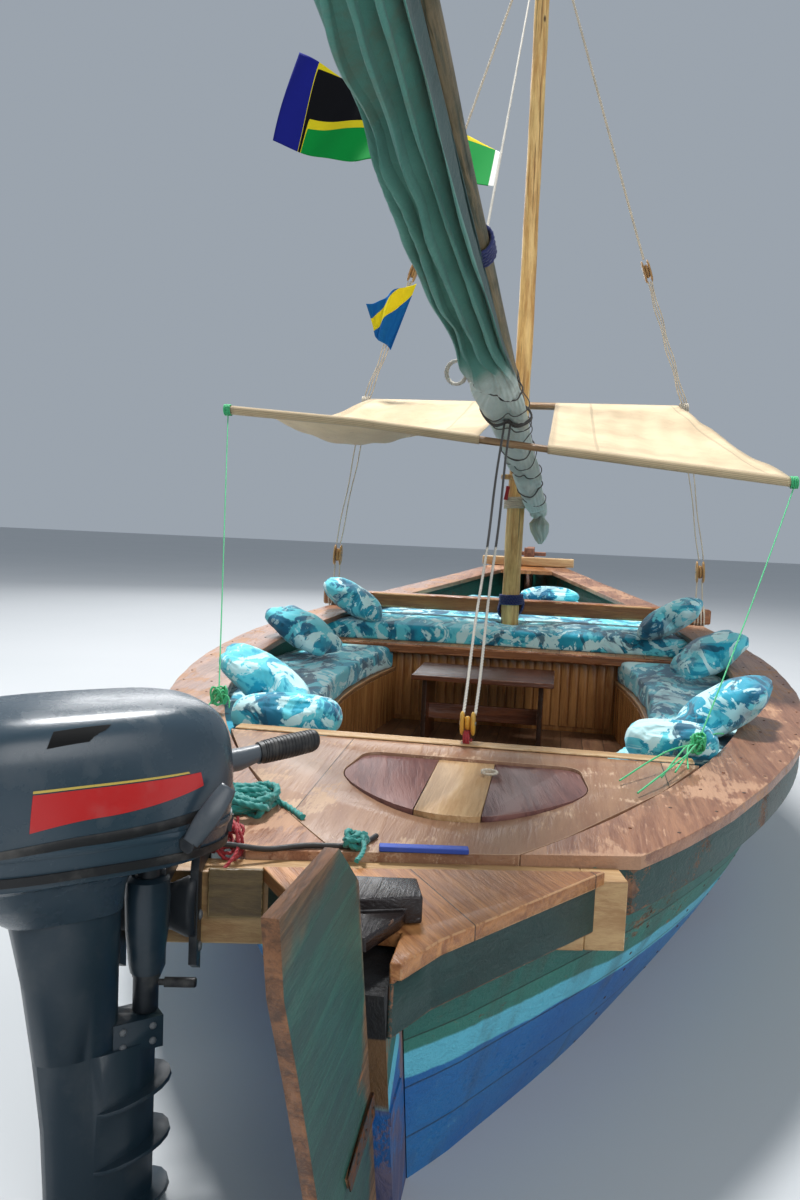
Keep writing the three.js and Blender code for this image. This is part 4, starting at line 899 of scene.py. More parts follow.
# A plank nosing runs along the platform's edge over the slatted wall, and the
# small table stands on the sole on two boards and a stretcher.
TABLE_WOOD = wood_surface("table_wood", (0.26, 0.085, 0.035), (0.1, 0.03, 0.015), worn=0.25, dirt=0.3,
                          boards=(0.12, 2.0, 0.012), rough=(0.25, 0.5), bare=(0.4, 0.18, 0.09))
DARK_VARNISH = wood_surface("dark_varnish", (0.46, 0.17, 0.055), (0.2, 0.06, 0.022), worn=0.3,
                            rough=(0.25, 0.5), dirt=0.3)
low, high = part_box("platform")
half = min(-low.x, high.x) - 0.06
nosing = timber("platform_nosing", 2 * half, 0.034, 0.05, (0, low.y - 0.018, high.z - 0.025), ease=0.01)
finished(nosing, DARK_VARNISH, "hull", "varnished_wood")
solid("table", TABLE_WOOD, "varnished_wood")

# The mast is a peeled log, slightly crooked, honey-coloured with dark knots
# and drying cracks, stepped on the keel; a band of the log at the hounds
# carries the shrouds.
MAST_AT = Vector((0.0, 0.350, 0.0))
MAST_FOOT, MAST_TOP = -0.3648, 4.95
MAST_RADII = (0.056, 0.038)


def log_surface(name, light, dark, knots=1.0, grime=0.3, rough=(0.42, 0.62)):
    """A peeled log: fibres along it, knots as small dark eyes and long cracks"""
    made, place = new_material(name)
    girth = put("ShaderNodeTexCoord").outputs["UV"]
    long_way = mapped(girth, Scale=(1.0, 0.3, 1.0))
    wood = use(GRAIN, Vector=long_way, Scale=1.2, Light=light, Dark=dark)
    drawn = mapped(girth, Scale=(2.6, 1.6, 1.0))
    eyes = put("ShaderNodeTexVoronoi", {"Vector": drawn, "Scale": 2.0, "Randomness": 1.0})
    eye = times(spread(eyes.outputs["Distance"], 0.13, 0.05), knots)
    ring = times(spread(eyes.outputs["Distance"], 0.22, 0.13), knots * 0.45)
    crack = speckle(mapped(girth, Scale=(1.4, 24.0, 1.0)), 1.0, 3.0)
    line = spread(crack, 0.61, 0.66)
    color = mixed(ring, wood["Color"], toned(light, 0.75))
    color = mixed(eye, color, (0.05, 0.022, 0.01))
    color = mixed(times(line, 0.75), color, toned(dark, 0.4))
    stain = spread(speckle(place, 5.0, 6.0), 0.45, 0.7)
    color = mixed(times(stain, grime), color, toned(dark, 0.55))
    relief = plus(minus(wood["Height"], times(line, 2.5)), times(eye, 1.5))
    dress(color, spread(stain, 0.0, 1.0, *rough), relief, 0.0014)
    return made


def log(name, points, radii, sides=28, crooked=0.0, lumps=0.02, seed=0.0):
    """A round spar through points, lumpy as a peeled log is, with UV along and round it"""
    rings = []
    for i, (at, radius) in enumerate(zip(points, radii)):
        before, after = points[max(i - 1, 0)], points[min(i + 1, len(points) - 1)]
        along_it = (after - before).normalized()
        aside = Vector((0, 0, 1)) if abs(along_it.z) < 0.9 else Vector((1, 0, 0))
        side = along_it.cross(aside).normalized()
        over = along_it.cross(side)
        run = i / max(len(points) - 1, 1)
        drift = side * crooked * sin(run * 7.3 + seed) + over * crooked * sin(run * 5.1 + 1.3 + seed)
        ring = []
        for a in rounds(sides):
            lump = 1 + lumps * (noise.noise(Vector((run * 24 + seed, cos(a) * 1.4, sin(a) * 1.4))))
            ring.append(at + drift + (side * cos(a) + over * sin(a)) * radius * lump)
        rings.append(ring)
    return sharpened(closed_mesh(name, rings), 60)


def between(a, b, steps):
    return [a.lerp(b, i / steps) for i in range(steps + 1)]


MAST_WOOD = log_surface("mast_log", (0.98, 0.68, 0.27), (0.60, 0.31, 0.09), 1.0, 0.25)
POLE_WOOD = log_surface("pole_wood", (0.45, 0.27, 0.13), (0.2, 0.11, 0.05), 0.5, 0.4)
HOUND_BAND, BAND_HALF, BAND_SWELL = 4.7, 0.05, 0.013
steps = 90
heights = between(MAST_AT + Vector((0, 0, MAST_FOOT)), MAST_AT + Vector((0, 0, MAST_TOP)), steps)
radii = []
for i, at in enumerate(heights):
    off = min(abs(at.z - HOUND_BAND) / BAND_HALF, 1.0)
    taper = MAST_RADII[0] + (MAST_RADII[1] - MAST_RADII[0]) * i / steps
    radii.append(taper + BAND_SWELL * (1 - off ** 2) ** 0.5)
mast = log("mast_log", heights, radii, crooked=0.004, lumps=0.09)
finished(mast, MAST_WOOD, "hull", "spar_wood", "mast")

# Two thin poles spread the awning, and a hewn crossbeam lies over the rails
# just forward of the mast, bound to it with dark blue rope.
for node, lean in (("awning_pole_fore", 0.0), ("awning_pole_aft", 2.0)):
    low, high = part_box(node)
    rows = {}
    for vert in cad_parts[node].data.vertices:
        rows.setdefault(round(vert.co.x, 2), []).append(vert.co)
    centres = sorted((sum(found, Vector()) / len(found) for found in rows.values() if len(found) > 4),
                     key=lambda p: p.x)
    radius = (high.y - low.y) / 2
    line = []
    for a, b in zip(centres, centres[1:]):
        line += between(a, b, max(int((b - a).length / 0.05), 1))[:-1]
    line.append(centres[-1])
    taper = [radius * (0.93 + 0.05 * sin(i * 0.35 + lean)) for i in range(len(line))]
    finished(log(node + "_stick", line, taper, 18, 0.0, 0.06, lean), POLE_WOOD, "hull", "spar_wood", node)

HEWN_WOOD = wood_surface("hewn_wood", (0.50, 0.19, 0.055), (0.24, 0.075, 0.02), worn=0.3, rough=(0.3, 0.6),
                         bare=(0.62, 0.38, 0.18), knots=0.6, dirt=0.25)
solid("crossbeam", HEWN_WOOD, "varnished_wood", 0.012, segments=3)
solid("bow_beam", PINE, "pine", 0.008)
solid("bow_deck", STERN_WOOD, "rail_wood", 0.003)
solid("bow_post", STEM_WOOD, "rail_wood", 0.008)

# The shrouds are laid rope from the hounds, spread by the ends of the awning
# pole, down to wooden blocks whose lanyards are made fast to the crossbeam.
# Three strands laid up along a curve.
tree, given = new_tree("laid rope", [
    ("Radius", "Float", 0.008), ("Lay", "Float", 0.05), ("Material", "Material", None)])
step = calc("DIVIDE", given["Lay"], 7.0)
path = put("GeometryNodeResampleCurve", {"Curve": given["Geometry"], "Length": step}, mode="LENGTH")
run = put("GeometryNodeSplineParameter").outputs["Length"]
turns = calc("DIVIDE", times(run, 2 * pi), given["Lay"])
laid = put("GeometryNodeSetCurveTilt", {"Curve": path.outputs[0], "Tilt": turns})
ring = put("GeometryNodeCurvePrimitiveCircle", {"Resolution": 12, "Radius": 1.0})
around = times(put("GeometryNodeInputIndex").outputs[0], 2 * pi * 3 / 12)
lobe = plus(times(calc("COSINE", around), 0.14), 0.86)
reach = times(lobe, given["Radius"])
spot = put("ShaderNodeVectorMath", {
    0: put("GeometryNodeInputPosition").outputs[0], 3: reach}, operation="SCALE")
strands = put("GeometryNodeSetPosition", {0: ring.outputs[0], "Position": spot.outputs[0]})
body = put("GeometryNodeCurveToMesh", {0: laid.outputs[0], "Profile Curve": strands.outputs[0],
                                             "Fill Caps": True})
LAID_ROPE = close_tree(tree, body.outputs[0], given["Material"])


def rope_fibre(name, color, shade, rough=0.85, dirt=0.3):
    """Rope yarn: fine fibres in a pale and a dark tone, and patches of dirt"""
    made, place = new_material(name, rough, Sheen_Weight=0.25)
    fibres = speckle(place, 420.0, 3.0, 0.7)
    grime = speckle(place, 9.0, 5.0)
    tone = mixed(fibres, shade, color)
    tone = mixed(times(spread(grime, 0.45, 0.7), dirt), tone, (0.1, 0.08, 0.06))
    dress(tone, None, fibres, 0.0006)
    return made


HEMP = rope_fibre("hemp_rope", (0.84, 0.76, 0.62), (0.55, 0.46, 0.34), dirt=0.18)
WHITE_ROPE = rope_fibre("white_rope", (0.85, 0.8, 0.7), (0.5, 0.45, 0.37), dirt=0.2)
GREY_ROPE = rope_fibre("tarred_rope", (0.12, 0.11, 0.1), (0.03, 0.03, 0.03))
GREEN_LINE = rope_fibre("green_line", (0.08, 0.75, 0.3), (0.02, 0.4, 0.14), 0.55, dirt=0.1)
TEAL_ROPE = rope_fibre("teal_rope", (0.03, 0.42, 0.36), (0.005, 0.14, 0.13), 0.6, dirt=0.15)
NAVY_ROPE = rope_fibre("navy_rope", (0.03, 0.05, 0.22), (0.008, 0.01, 0.06), 0.7, dirt=0.15)
RED_LINE = rope_fibre("red_line", (0.6, 0.03, 0.04), (0.25, 0.01, 0.02), 0.6, dirt=0.1)


def sagged(a, b, drop=0.0, steps=12, spiral=0.0, turns=0.0, phase=0.0):
    """Points from a to b with a little sag, or wound round the line between them"""
    a, b = Vector(a), Vector(b)
    line = (b - a).normalized()
    side = line.cross(Vector((0, 1, 0.3))).normalized()
    over = line.cross(side)
    points = []
    for i in range(steps + 1):
        t = i / steps
        swing = 2 * pi * turns * t + phase
        points.append(a.lerp(b, t) - Vector((0, 0, 4 * drop * t * (1 - t)))
                      + (side * cos(swing) + over * sin(swing)) * spiral)
    return points


def laid(name, points, radius, material, lay=None):
    """A laid rope along a smooth line through the points, not yet part of the boat"""
    guide = smooth_curve(name, [Vector(p) for p in points], 0.0, 5)
    return grown(guide, LAID_ROPE, Radius=radius, Lay=lay or radius * 7, Material=material)


def rope(name, points, radius, body, material, nodes=()):
    return finished(laid(name, points, radius, material), material, body, "rope", *nodes)


def coil(centre, axis, radius, turns, rise, steps=14, start=0.0, squash=1.0):
    """Points of a lashing wound round an axis"""
    axis = Vector(axis).normalized()
    side = axis.orthogonal().normalized()
    over = axis.cross(side)
    points = []
    for i in range(int(steps * turns) + 1):
        a = 2 * pi * i / steps + start
        points.append(Vector(centre) + axis * rise * (i / (steps * turns) - 0.5)
                      + side * radius * cos(a) + over * radius * squash * sin(a))
    return points


def tangle(centre, spread_by, count, seed=0.0):
    """Points of a hand-tied knot: loops that cross each other round its middle"""
    wide, deep, tall = spread_by
    return [Vector(centre) + Vector((wide * sin(k * 2.1 + seed), deep * cos(k * 1.7 + seed * 2),
                                     tall * sin(k * 2.9 + seed * 3))) for k in range(count)]


def joined_pieces(name, pieces):
    """Several meshes as one piece"""
    shape = bmesh.new()
    for piece in pieces:
        shape.from_mesh(piece.data)
        bpy.data.objects.remove(piece)
    return object_of(shape, name)


def bundle(name, lines, body, material, *nodes, slot="rope", lay=None):
    """Ropes, each by its points and radius, as one piece"""
    parts = [laid(name + "_part", points, radius, material, lay) for points, radius in lines]
    return finished(joined_pieces(name, parts), material, body, slot, *nodes)


BLOCK_WOOD = wood_surface("block_wood", (0.66, 0.4, 0.15), (0.36, 0.18, 0.06), worn=0.3, rough=(0.3, 0.5),
                          turn=(0, 90, 0), scale=2.5, dirt=0.15)
STEEL, place = new_material("dull_steel", 0.42, Metallic=1.0)
scratch = speckle(place, 140.0, 5.0)
dress(mixed(scratch, (0.2, 0.2, 0.2), (0.5, 0.5, 0.48)),
      spread(scratch, 0.3, 0.7, 0.3, 0.6), scratch, 0.0002)


def wooden_block(name, place, tall, wide, thick, turn=(0, 0, 0), finish=None, body="hull"):
    """A rope block: two rounded cheeks with a sheave and its pin between them"""
    parts = []
    pose = Matrix.Translation(place) @ (Matrix.Rotation(turn[2], 4, "Z") @ Matrix.Rotation(turn[1], 4, "Y")
                                        @ Matrix.Rotation(turn[0], 4, "X"))
    for offset, width, height in ((-thick * 0.36, thick * 0.26, 1.0), (thick * 0.36, thick * 0.26, 1.0),
                                  (0.0, thick * 0.36, 0.62)):
        rings = []
        for i in range(7):
            u = -1 + 2 * i / 6
            bulge = sqrt(max(1 - 0.35 * u * u, 0)) * height
            rings.append([pose @ Vector((offset + width / 2 * u,
                                         wide / 2 * bulge * sin(a) * (1 - 0.12 * cos(a)),
                                         tall / 2 * bulge * cos(a))) for a in rounds(22)])
        parts.append(closed_mesh(f"{name}_part", rings))
    pin_rings = [[pose @ Vector((x, 0.006 * cos(a), 0.006 * sin(a))) for a in rounds(10)]
                 for x in (-thick * 0.56, thick * 0.56)]
    finished(joined_pieces(name, parts), finish or BLOCK_WOOD, body, "varnished_wood")
    finished(closed_mesh(name + "_pin", pin_rings), STEEL, body, "motor_paint")


HOUNDS = 4.69
POLE_END = Vector((0.936, 0.390, 2.030))
HEAD_BLOCK = Vector((1.092, 0.440, 1.090))
UPPER_BLOCK = 0.71               # share of the way from the hounds to the pole's end
beam_low, beam_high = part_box("crossbeam")
SHROUD_FOOT = Vector((1.100, 0.451, beam_high.z))
for side_name, side in SIDES:
    flip = Matrix.Scale(side, 4, (1, 0, 0))
    hounds = flip @ Vector((0.045, 0.350, HOUNDS))
    pole_end, block, foot = flip @ POLE_END, flip @ HEAD_BLOCK, flip @ SHROUD_FOOT
    upper = hounds.lerp(pole_end, UPPER_BLOCK)
    below = (pole_end - upper).normalized()
    rope("shroud_" + side_name + "_rope", sagged(hounds, upper - below * 0.07, 0.004), 0.008, "hull", HEMP,
         ("shroud_" + side_name,))
    lean = atan2(below.x, -below.z)
    wooden_block("shroud_upper_block_" + side_name, upper, 0.13, 0.055, 0.045, (0, -lean, 0))
    falls = []
    for k in (-1, 0, 1):
        top, bottom = Vector((0.012 * k, 0, 0)), Vector((0.014 * k, 0.01 * k, 0.02))
        falls.append((sagged(upper + below * 0.06 + top, pole_end + bottom, 0.006, 14, 0.004, 3, k), 0.0045))
    for k in (-1, 1):
        top, bottom = Vector((0.014 * k, 0.01 * k, -0.02)), Vector((0.012 * k, 0, 0.07))
        falls.append((sagged(pole_end + top, block + bottom, 0.004, 14, 0.003, 2, k), 0.0045))
    falls.append((coil(pole_end, (1, 0, 0), 0.027, 5, 0.05), 0.005))
    bundle("shroud_falls_" + side_name, falls, "hull", HEMP)
    wooden_block("shroud_lower_block_" + side_name, block, 0.13, 0.062, 0.05, (0, -0.05 * side, 0))
    lanyard = []
    for k in (-1, 1):
        top, bottom = Vector((0.014 * k, 0, -0.05)), Vector((0.02 * k, 0, 0.01))
        lanyard.append((sagged(block + top, foot + bottom, 0.0, 8), 0.005))
    middle = (foot.x, (beam_low.y + beam_high.y) / 2, (beam_low.z + beam_high.z) / 2)
    lanyard.append((coil(middle, (1, 0, 0), 0.066, 4, 0.07, 16), 0.006))
    bundle("shroud_lanyard_" + side_name, lanyard, "hull", HEMP)

rope("mast_seizing", coil((0, 0.352, 0.875), (0, 0, 1), 0.066, 5, 0.06, 18), 0.0075, "hull", NAVY_ROPE)
for k, slant in enumerate((0.5, -0.5)):
    cross = coil((0.0, 0.402, 0.83), (0.25 * (1 - 2 * k), 1, slant * 0.1), 0.085, 3, 0.03, 18, k, 0.75)
    rope(f"crossbeam_lashing_{k}", cross, 0.0075, "hull", NAVY_ROPE)
rope("hounds_seizing", coil((0, 0.35, 4.73), (0, 0, 1), 0.05, 6, 0.07, 16), 0.007, "hull", HEMP)

# The awning is one cream canvas, slit for the mast, stretched between two
# poles that run through sleeves sewn along its fore and aft edges.
AFT_POLE = [(-1.18, 1.762), (-0.6, 1.722), (0.0, 1.655), (0.56, 1.595), (1.18, 1.53)]
POLE_Y, POLE_Z = (0.418, -1.43), 2.030
SLEEVE = (0.0205, 0.0185)        # radius of the cloth round each pole
CLOTH_EDGE = [                   # share of width, place at the fore and at the aft edge, sag
    (0.0, -0.905, -1.150, 0.18), (0.16, -0.6, -0.6, 0.18), (0.42, -0.08, -0.08, 0.15),
    (0.54, 0.20, 0.20, 0.04), (0.72, 0.56, 0.56, 0.04), (1.0, 0.905, 1.15, 0.04),
]
SLIT = (0.42, 0.54)


def linear(table, column, s):
    i = next(k for k in range(1, len(table)) if s <= table[k][0] + 1e-9)
    a, b = table[i - 1], table[i]
    return a[column] + (b[column] - a[column]) * (s - a[0]) / (b[0] - a[0])


def canvas_point(across, run):
    """A point of the cloth; run is 0 at the fore pole's top and 1 at the aft pole's"""
    v = min(max(run, 0.0), 1.0)
    fore_x, aft_x = linear(CLOTH_EDGE, 1, across), linear(CLOTH_EDGE, 2, across)
    x = fore_x + (aft_x - fore_x) * v
    aft_z = linear(AFT_POLE, 1, aft_x)
    if run < 0 or run > 1:
        end = 0 if run < 0 else 1
        angle = radians(90 + run * 190) if end == 0 else radians(90 + (run - 1) * 190)
        base = POLE_Z if end == 0 else aft_z
        return Vector((x, POLE_Y[end] + SLEEVE[end] * cos(angle), base + SLEEVE[end] * sin(angle)))
    top = (POLE_Z + SLEEVE[0]) * (1 - v) + (aft_z + SLEEVE[1]) * v
    span = min((abs(x) - 0.04) / 1.14, 1.0)
    sag = linear(CLOTH_EDGE, 3, across) * sin(pi * v ** 1.5) * sin(pi * max(span, 0.0) ** 1.5)
    loose = sin(pi * v) ** 0.6
    pull = 0.007 * sin(x * 46 + 9 * v + 2 * sin(5 * v)) * (0.35 + 0.65 * abs(x) / 1.15)
    small = 0.5 * noise.noise(Vector((x * 13, v * 7, 1.7)))
    crease = 0.012 * (noise.noise(Vector((x * 5.5, v * 2.2, 3.1))) + small)
    y = POLE_Y[0] + (POLE_Y[1] - POLE_Y[0]) * v
    return Vector((x, y, top - sag + loose * (pull + crease) * 0.8))


# The awning's weave, seams, hems with their stitches, and dirt.
CANVAS, place = new_material("awning_canvas", 0.8, Sheen_Weight=0.2)
flat = put("ShaderNodeTexCoord").outputs["UV"]
axes = axes_of(flat)
weave = times(calc("SINE", times(axes[0], 2600.0)), calc("SINE", times(axes[1], 2600.0)))
shade = speckle(place, 2.2, 6.0, 0.65)
tone = mixed(spread(shade, 0.35, 0.68), (0.76, 0.59, 0.36), (0.58, 0.42, 0.24))
spots = spread(speckle(place, 24.0, 6.0, 0.7), 0.6, 0.72)
tone = mixed(times(spots, 0.5), tone, (0.28, 0.2, 0.12))
lap = calc("FRACT", calc("DIVIDE", axes[0], 0.58))
seam = spread(calc("ABSOLUTE", minus(lap, 0.5)), 0.485, 0.495)
stitch = calc("GREATER_THAN", calc("SINE", times(axes[1], 900.0)), 0.0)
sewn = calc("MAXIMUM", seam, noted("hem_and_shaded_edge"))
tone = mixed(times(sewn, plus(0.25, times(stitch, 0.45))), tone, (0.32, 0.24, 0.14))
height = plus(times(weave, 0.12), plus(shade, times(sewn, 1.2)))
dress(tone, None, height, 0.0012)


def cloth_grid(name, rows, columns, spot, hole=None, hem_and_shaded_edge=None):
    """An open sheet of cloth from a function of two shares, with metres as UV"""
    shape = bmesh.new()
    plan = shape.loops.layers.uv.new("UVMap")
    mark = shape.verts.layers.float.new("hem_and_shaded_edge")
    grid = {}
    for i, v in enumerate(rows):
        for j, u in enumerate(columns):
            grid[i, j] = shape.verts.new(spot(u, v))
            grid[i, j][mark] = hem_and_shaded_edge(u, v) if hem_and_shaded_edge else 0.0
    span = sum((grid[0, j + 1].co - grid[0, j].co).length for j in range(len(columns) - 1))
    middle = len(columns) // 3
    run = [0.0]
    for i in range(len(rows) - 1):
        run.append(run[-1] + (grid[i + 1, middle].co - grid[i, middle].co).length)
    for i in range(len(rows) - 1):
        for j in range(len(columns) - 1):
            if hole and hole((columns[j] + columns[j + 1]) / 2, (rows[i] + rows[i + 1]) / 2):
                continue
            face = shape.faces.new((grid[i, j], grid[i, j + 1], grid[i + 1, j + 1], grid[i + 1, j]))
            face.smooth = True
            for loop, (a, b) in zip(face.loops, ((i, j), (i, j + 1), (i + 1, j + 1), (i + 1, j))):
                loop[plan].uv = (columns[b] * span, run[a])
    bmesh.ops.delete(shape, geom=[v for v in shape.verts if not v.link_faces], context="VERTS")
    return object_of(shape, name)


def thickened(piece, thick):
    solid_cloth = piece.modifiers.new("thick", "SOLIDIFY")
    solid_cloth.thickness, solid_cloth.offset = thick, 0.0
    return applied(piece)


def shares(start, end, steps):
    return [start + (end - start) * i / steps for i in range(steps + 1)]


wide = [0.0]
for (low, *_rest), (high, *_rest), steps in zip(CLOTH_EDGE, CLOTH_EDGE[1:], (22, 34, 14, 24, 34)):
    wide += shares(low, high, steps)[1:]
down = shares(-1, 0, 12) + shares(0, 1, 110)[1:] + shares(1, 2, 12)[1:]


def awning_hem(u, v):
    near_side = min(u, 1 - u) < 0.016 or (0 < v and min(abs(u - SLIT[0]), abs(u - SLIT[1])) < 0.012)
    return float(near_side or v < 0 or v > 1 or min(v, 1 - v) < 0.012)


awning = cloth_grid("awning_canvas", down, wide, canvas_point,
                    hole=lambda u, v: SLIT[0] < u < SLIT[1] and v > 0, hem_and_shaded_edge=awning_hem)
awning = thickened(awning, 0.0014)
finished(awning, CANVAS, "hull", "awning_canvas", "awning")

# The yard is a long spar of two lengths scarfed together, weathered grey-brown
# with old dark green paint, bound with rope over the scarf.
HINGE = Vector((0.13, 0.3, 1.45))
YARD_STEP = Vector((-0.0444, -1.0, 0.22))
YARD_WIDE = (0.040, 0.030)
YARD_LONG, YARD_HEEL = 6.9, 0.17


def yard_at(aft):
    return HINGE + YARD_STEP * aft


def yard_radius(aft):
    return YARD_WIDE[0] + (YARD_WIDE[1] - YARD_WIDE[0]) * max(aft, 0) / YARD_LONG


yard_ahead = YARD_STEP.normalized()
yard_side = yard_ahead.cross(Vector((0, 0, -1))).normalized()
yard_up = yard_ahead.cross(yard_side)
YARD_WOOD = log_surface("yard_log", (0.22, 0.155, 0.07), (0.04, 0.055, 0.03), 0.5, 0.5)
places = [yard_at(-YARD_HEEL + (YARD_LONG + YARD_HEEL) * i / 150) for i in range(151)]
widths = [yard_radius(-YARD_HEEL + (YARD_LONG + YARD_HEEL) * i / 150) * 0.97 for i in range(151)]
widths[0] *= 0.86
widths[-1] *= 0.8
finished(log("yard_log", places, widths, 24, 0.002, 0.07, 4.0), YARD_WOOD, "yard", "yard_wood", "yard")
bands = [(coil(yard_at(aft), yard_ahead, yard_radius(aft) + 0.004, turns, 0.014 * turns, 16), 0.006)
         for aft, turns in ((6.62, 4), (6.78, 3))]
bundle("yard_bands", bands, "yard", GREY_ROPE)

# The sail is furled along the yard: one lateen cloth of teal cotton, laid in
# long folds on the yard's port and lower side; its whitish foot is wound tight
# round the fore part and tied with thin black line.
SAIL = [                         # aft of the hinge, fold below, fold to port, from and to degrees
    (0.07, 0.020, 0.010, 70, 350), (0.30, 0.034, 0.022, 73, 347), (0.90, 0.044, 0.040, 80, 340),
    (1.50, 0.050, 0.060, 89, 331), (2.10, 0.060, 0.110, 98, 322), (2.90, 0.070, 0.150, 108, 312),
    (3.90, 0.072, 0.160, 118, 302), (5.00, 0.064, 0.140, 125, 295), (6.00, 0.050, 0.110, 128, 292),
    (6.50, 0.030, 0.060, 130, 290),
]
SAIL_THICK = 0.018
FOLDS = 9
TIGHT_TO = 2.25                  # aft of the hinge to which the cloth is wound tight
TIES = (0.24, 0.52, 0.86, 1.22, 1.60, 1.98, 6.36)


def sail_reach(aft, angle):
    below, port = linear(SAIL, 1, aft), linear(SAIL, 2, aft)
    return SAIL_THICK + hypot(max(-sin(angle), 0) * below, max(-cos(angle), 0) * port)


def sail_point(u, aft):
    """Angle round the yard and distance from its middle of the cloth, u being the share of its girth"""
    slack = min(max((aft - TIGHT_TO + 0.25) / 0.5, 0.0), 1.0)
    slack = slack * slack * (3 - 2 * slack)
    low, high = radians(linear(SAIL, 3, aft)), radians(linear(SAIL, 4, aft) - 22 * slack)
    drift = 0.7 * noise.noise(Vector((aft * 0.5, u * 2.2, 0.4)))
    drift += 0.25 * noise.noise(Vector((aft * 1.6, u * 4, 4.4)))
    swing = FOLDS * u + drift
    turned_by = 2.2 * u + aft * 1.3 + 0.5 * noise.noise(Vector((aft * 3, u * 2, 1.1)))
    wave = abs(sin(pi * swing)) ** 0.6 * slack + (1 - slack) * (0.72 + 0.28 * sin(2 * pi * turned_by))
    small = 0.5 + 0.5 * sin(2 * pi * (3 * swing + 0.6 * sin(aft * 1.9)))
    pinch = 1 - 0.26 * max(2.7 ** (-((aft - tie) / 0.045) ** 2) for tie in TIES)
    full = (0.97 + 0.14 * noise.noise(Vector((aft * 1.1, u * 6, 7.7)))) * pinch
    crumple = (0.1 + 0.22 * (1 - slack)) * noise.noise(Vector((aft * 5, u * 7, 5.5)))
    closed = min(min(u, 1 - u) * 12, 1.0)
    share = full * (wave * 0.93 + 0.07 * small * wave) + crumple + (1 - slack) * 0.18
    share = max(min(share, 1.03), 0.0) * closed
    radius = yard_radius(aft) + 0.0035 + sail_reach(aft, low + (high - low) * u) * share
    lean = 0.35 * sin(2 * pi * swing) * wave / FOLDS * slack
    return low + (high - low) * min(max(u + lean, 0.0), 1.0), radius


def sail_place(u, v):
    aft = SAIL[0][0] + (SAIL[-1][0] - SAIL[0][0]) * v
    angle, radius = sail_point(u, aft)
    return yard_at(aft) + (yard_side * cos(angle) + yard_up * sin(angle)) * radius


def round_roll(aft, turns, pitch, gap=0.005, start=0.0):
    """Turns of line that lie close on the yard and the cloth round it"""
    ring = []
    for k in range(32 * turns + 1):
        a = start + 2 * pi * k / 32
        at = aft + pitch * k / 32
        low, high = radians(linear(SAIL, 3, at)), radians(linear(SAIL, 4, at))
        u = ((a % (2 * pi)) - low) / (high - low)
        reach = yard_radius(at)
        if -0.03 < u < 1.03:
            reach = max(sail_point(min(max(u + part, 0.0), 1.0), at)[1]
                        for part in (-0.05, -0.025, 0.0, 0.025, 0.05))
        ring.append(yard_at(at) + (yard_side * cos(a) + yard_up * sin(a)) * (reach + gap))
    return ring


# Teal cloth that turns into a whitish foot, faded, stained and creased, with a painted shadow along its edges
# next to the yard towards the aft end.
SAIL_CLOTH, place = new_material("sail_cloth", 0.85, Sheen_Weight=0.2)
axes = axes_of(place)
waver = times(speckle(place, 4.0, 4.0), 0.3)
fore = spread(plus(axes[1], waver), -1.86, -1.68)
teal = mixed(speckle(place, 5.0, 5.0), (0.045, 0.2, 0.165), (0.12, 0.36, 0.29))
white = mixed(speckle(place, 7.0, 6.0), (0.72, 0.78, 0.72), (0.34, 0.44, 0.4))
color = mixed(fore, teal, white)
stain = spread(speckle(place, 3.4, 7.0, 0.68), 0.52, 0.7)
color = mixed(times(stain, 0.45), color, (0.16, 0.13, 0.07))
# Painted shadow: the cloth's marked edges next to the yard turn near black towards the aft end.
painted_yard_shadow = times(noted("hem_and_shaded_edge"), spread(axes[1], -1.75, -1.95, 0.0, 0.85))
color = mixed(painted_yard_shadow, color, (0.006, 0.03, 0.035))
crease = plus(speckle(place, 26.0, 5.0, 0.6, 1.2), times(speckle(place, 800.0, 2.0), 0.1))
dress(color, None, crease, 0.003)

# The edges of the cloth's girth are marked for the painted shadow next to the yard.
sail = cloth_grid("sail_cloth", shares(0, 1, 320), shares(0, 1, FOLDS * 16), sail_place,
                  hem_and_shaded_edge=lambda u, v: float(u < 0.075 or u > 0.93))
sail = thickened(sail, 0.0016)
finished(sail, SAIL_CLOTH, "yard", "sailcloth", "furled_sail")

# The sail's peak is bundled by hand round the yard's heel and hangs in a
# short tail of the same cotton.
TAIL = [                         # height, across, along, place of its middle
    (1.212, 0.012, 0.016, 0.152, 0.452), (1.240, 0.034, 0.040, 0.150, 0.446),
    (1.285, 0.056, 0.060, 0.146, 0.434), (1.335, 0.062, 0.074, 0.142, 0.420),
    (1.366, 0.034, 0.060, 0.140, 0.415), (1.39, 0.030, 0.050, 0.139, 0.410),
]
rings = []
for z in shares(TAIL[0][0], TAIL[-1][0], 30):
    across, lengthways, x, y = (linear(TAIL, column, z) for column in (1, 2, 3, 4))
    ring = []
    for a in rounds(60):
        fold = 0.86 + 0.14 * cos(9 * a + 3 * sin(z * 30))
        fold += 0.04 * noise.noise(Vector((z * 20, cos(a), sin(a))))
        ring.append(Vector((x + across * fold * cos(a), y + lengthways * fold * sin(a), z)))
    rings.append(ring)
finished(closed_mesh("sail_tail", rings), SAIL_CLOTH, "yard", "sailcloth")
rings = []
for i, aft in enumerate(shares(-0.183, 0.083, 32)):
    full = 0.35 + 0.65 * sin(pi * i / 32) ** 0.5
    ring = []
    for a in rounds(64):
        lower = max(-sin(a + 0.3), 0.0)
        fold = 0.5 + 0.5 * cos(11 * a + 2 * sin(aft * 40))
        reach = yard_radius(0) + 0.003 + (0.006 + 0.024 * lower) * full * (0.5 + 0.5 * fold)
        ring.append(yard_at(aft) + (yard_side * cos(a) + yard_up * sin(a)) * reach)
    rings.append(ring)
finished(closed_mesh("sail_heel", rings), SAIL_CLOTH, "yard", "sailcloth")

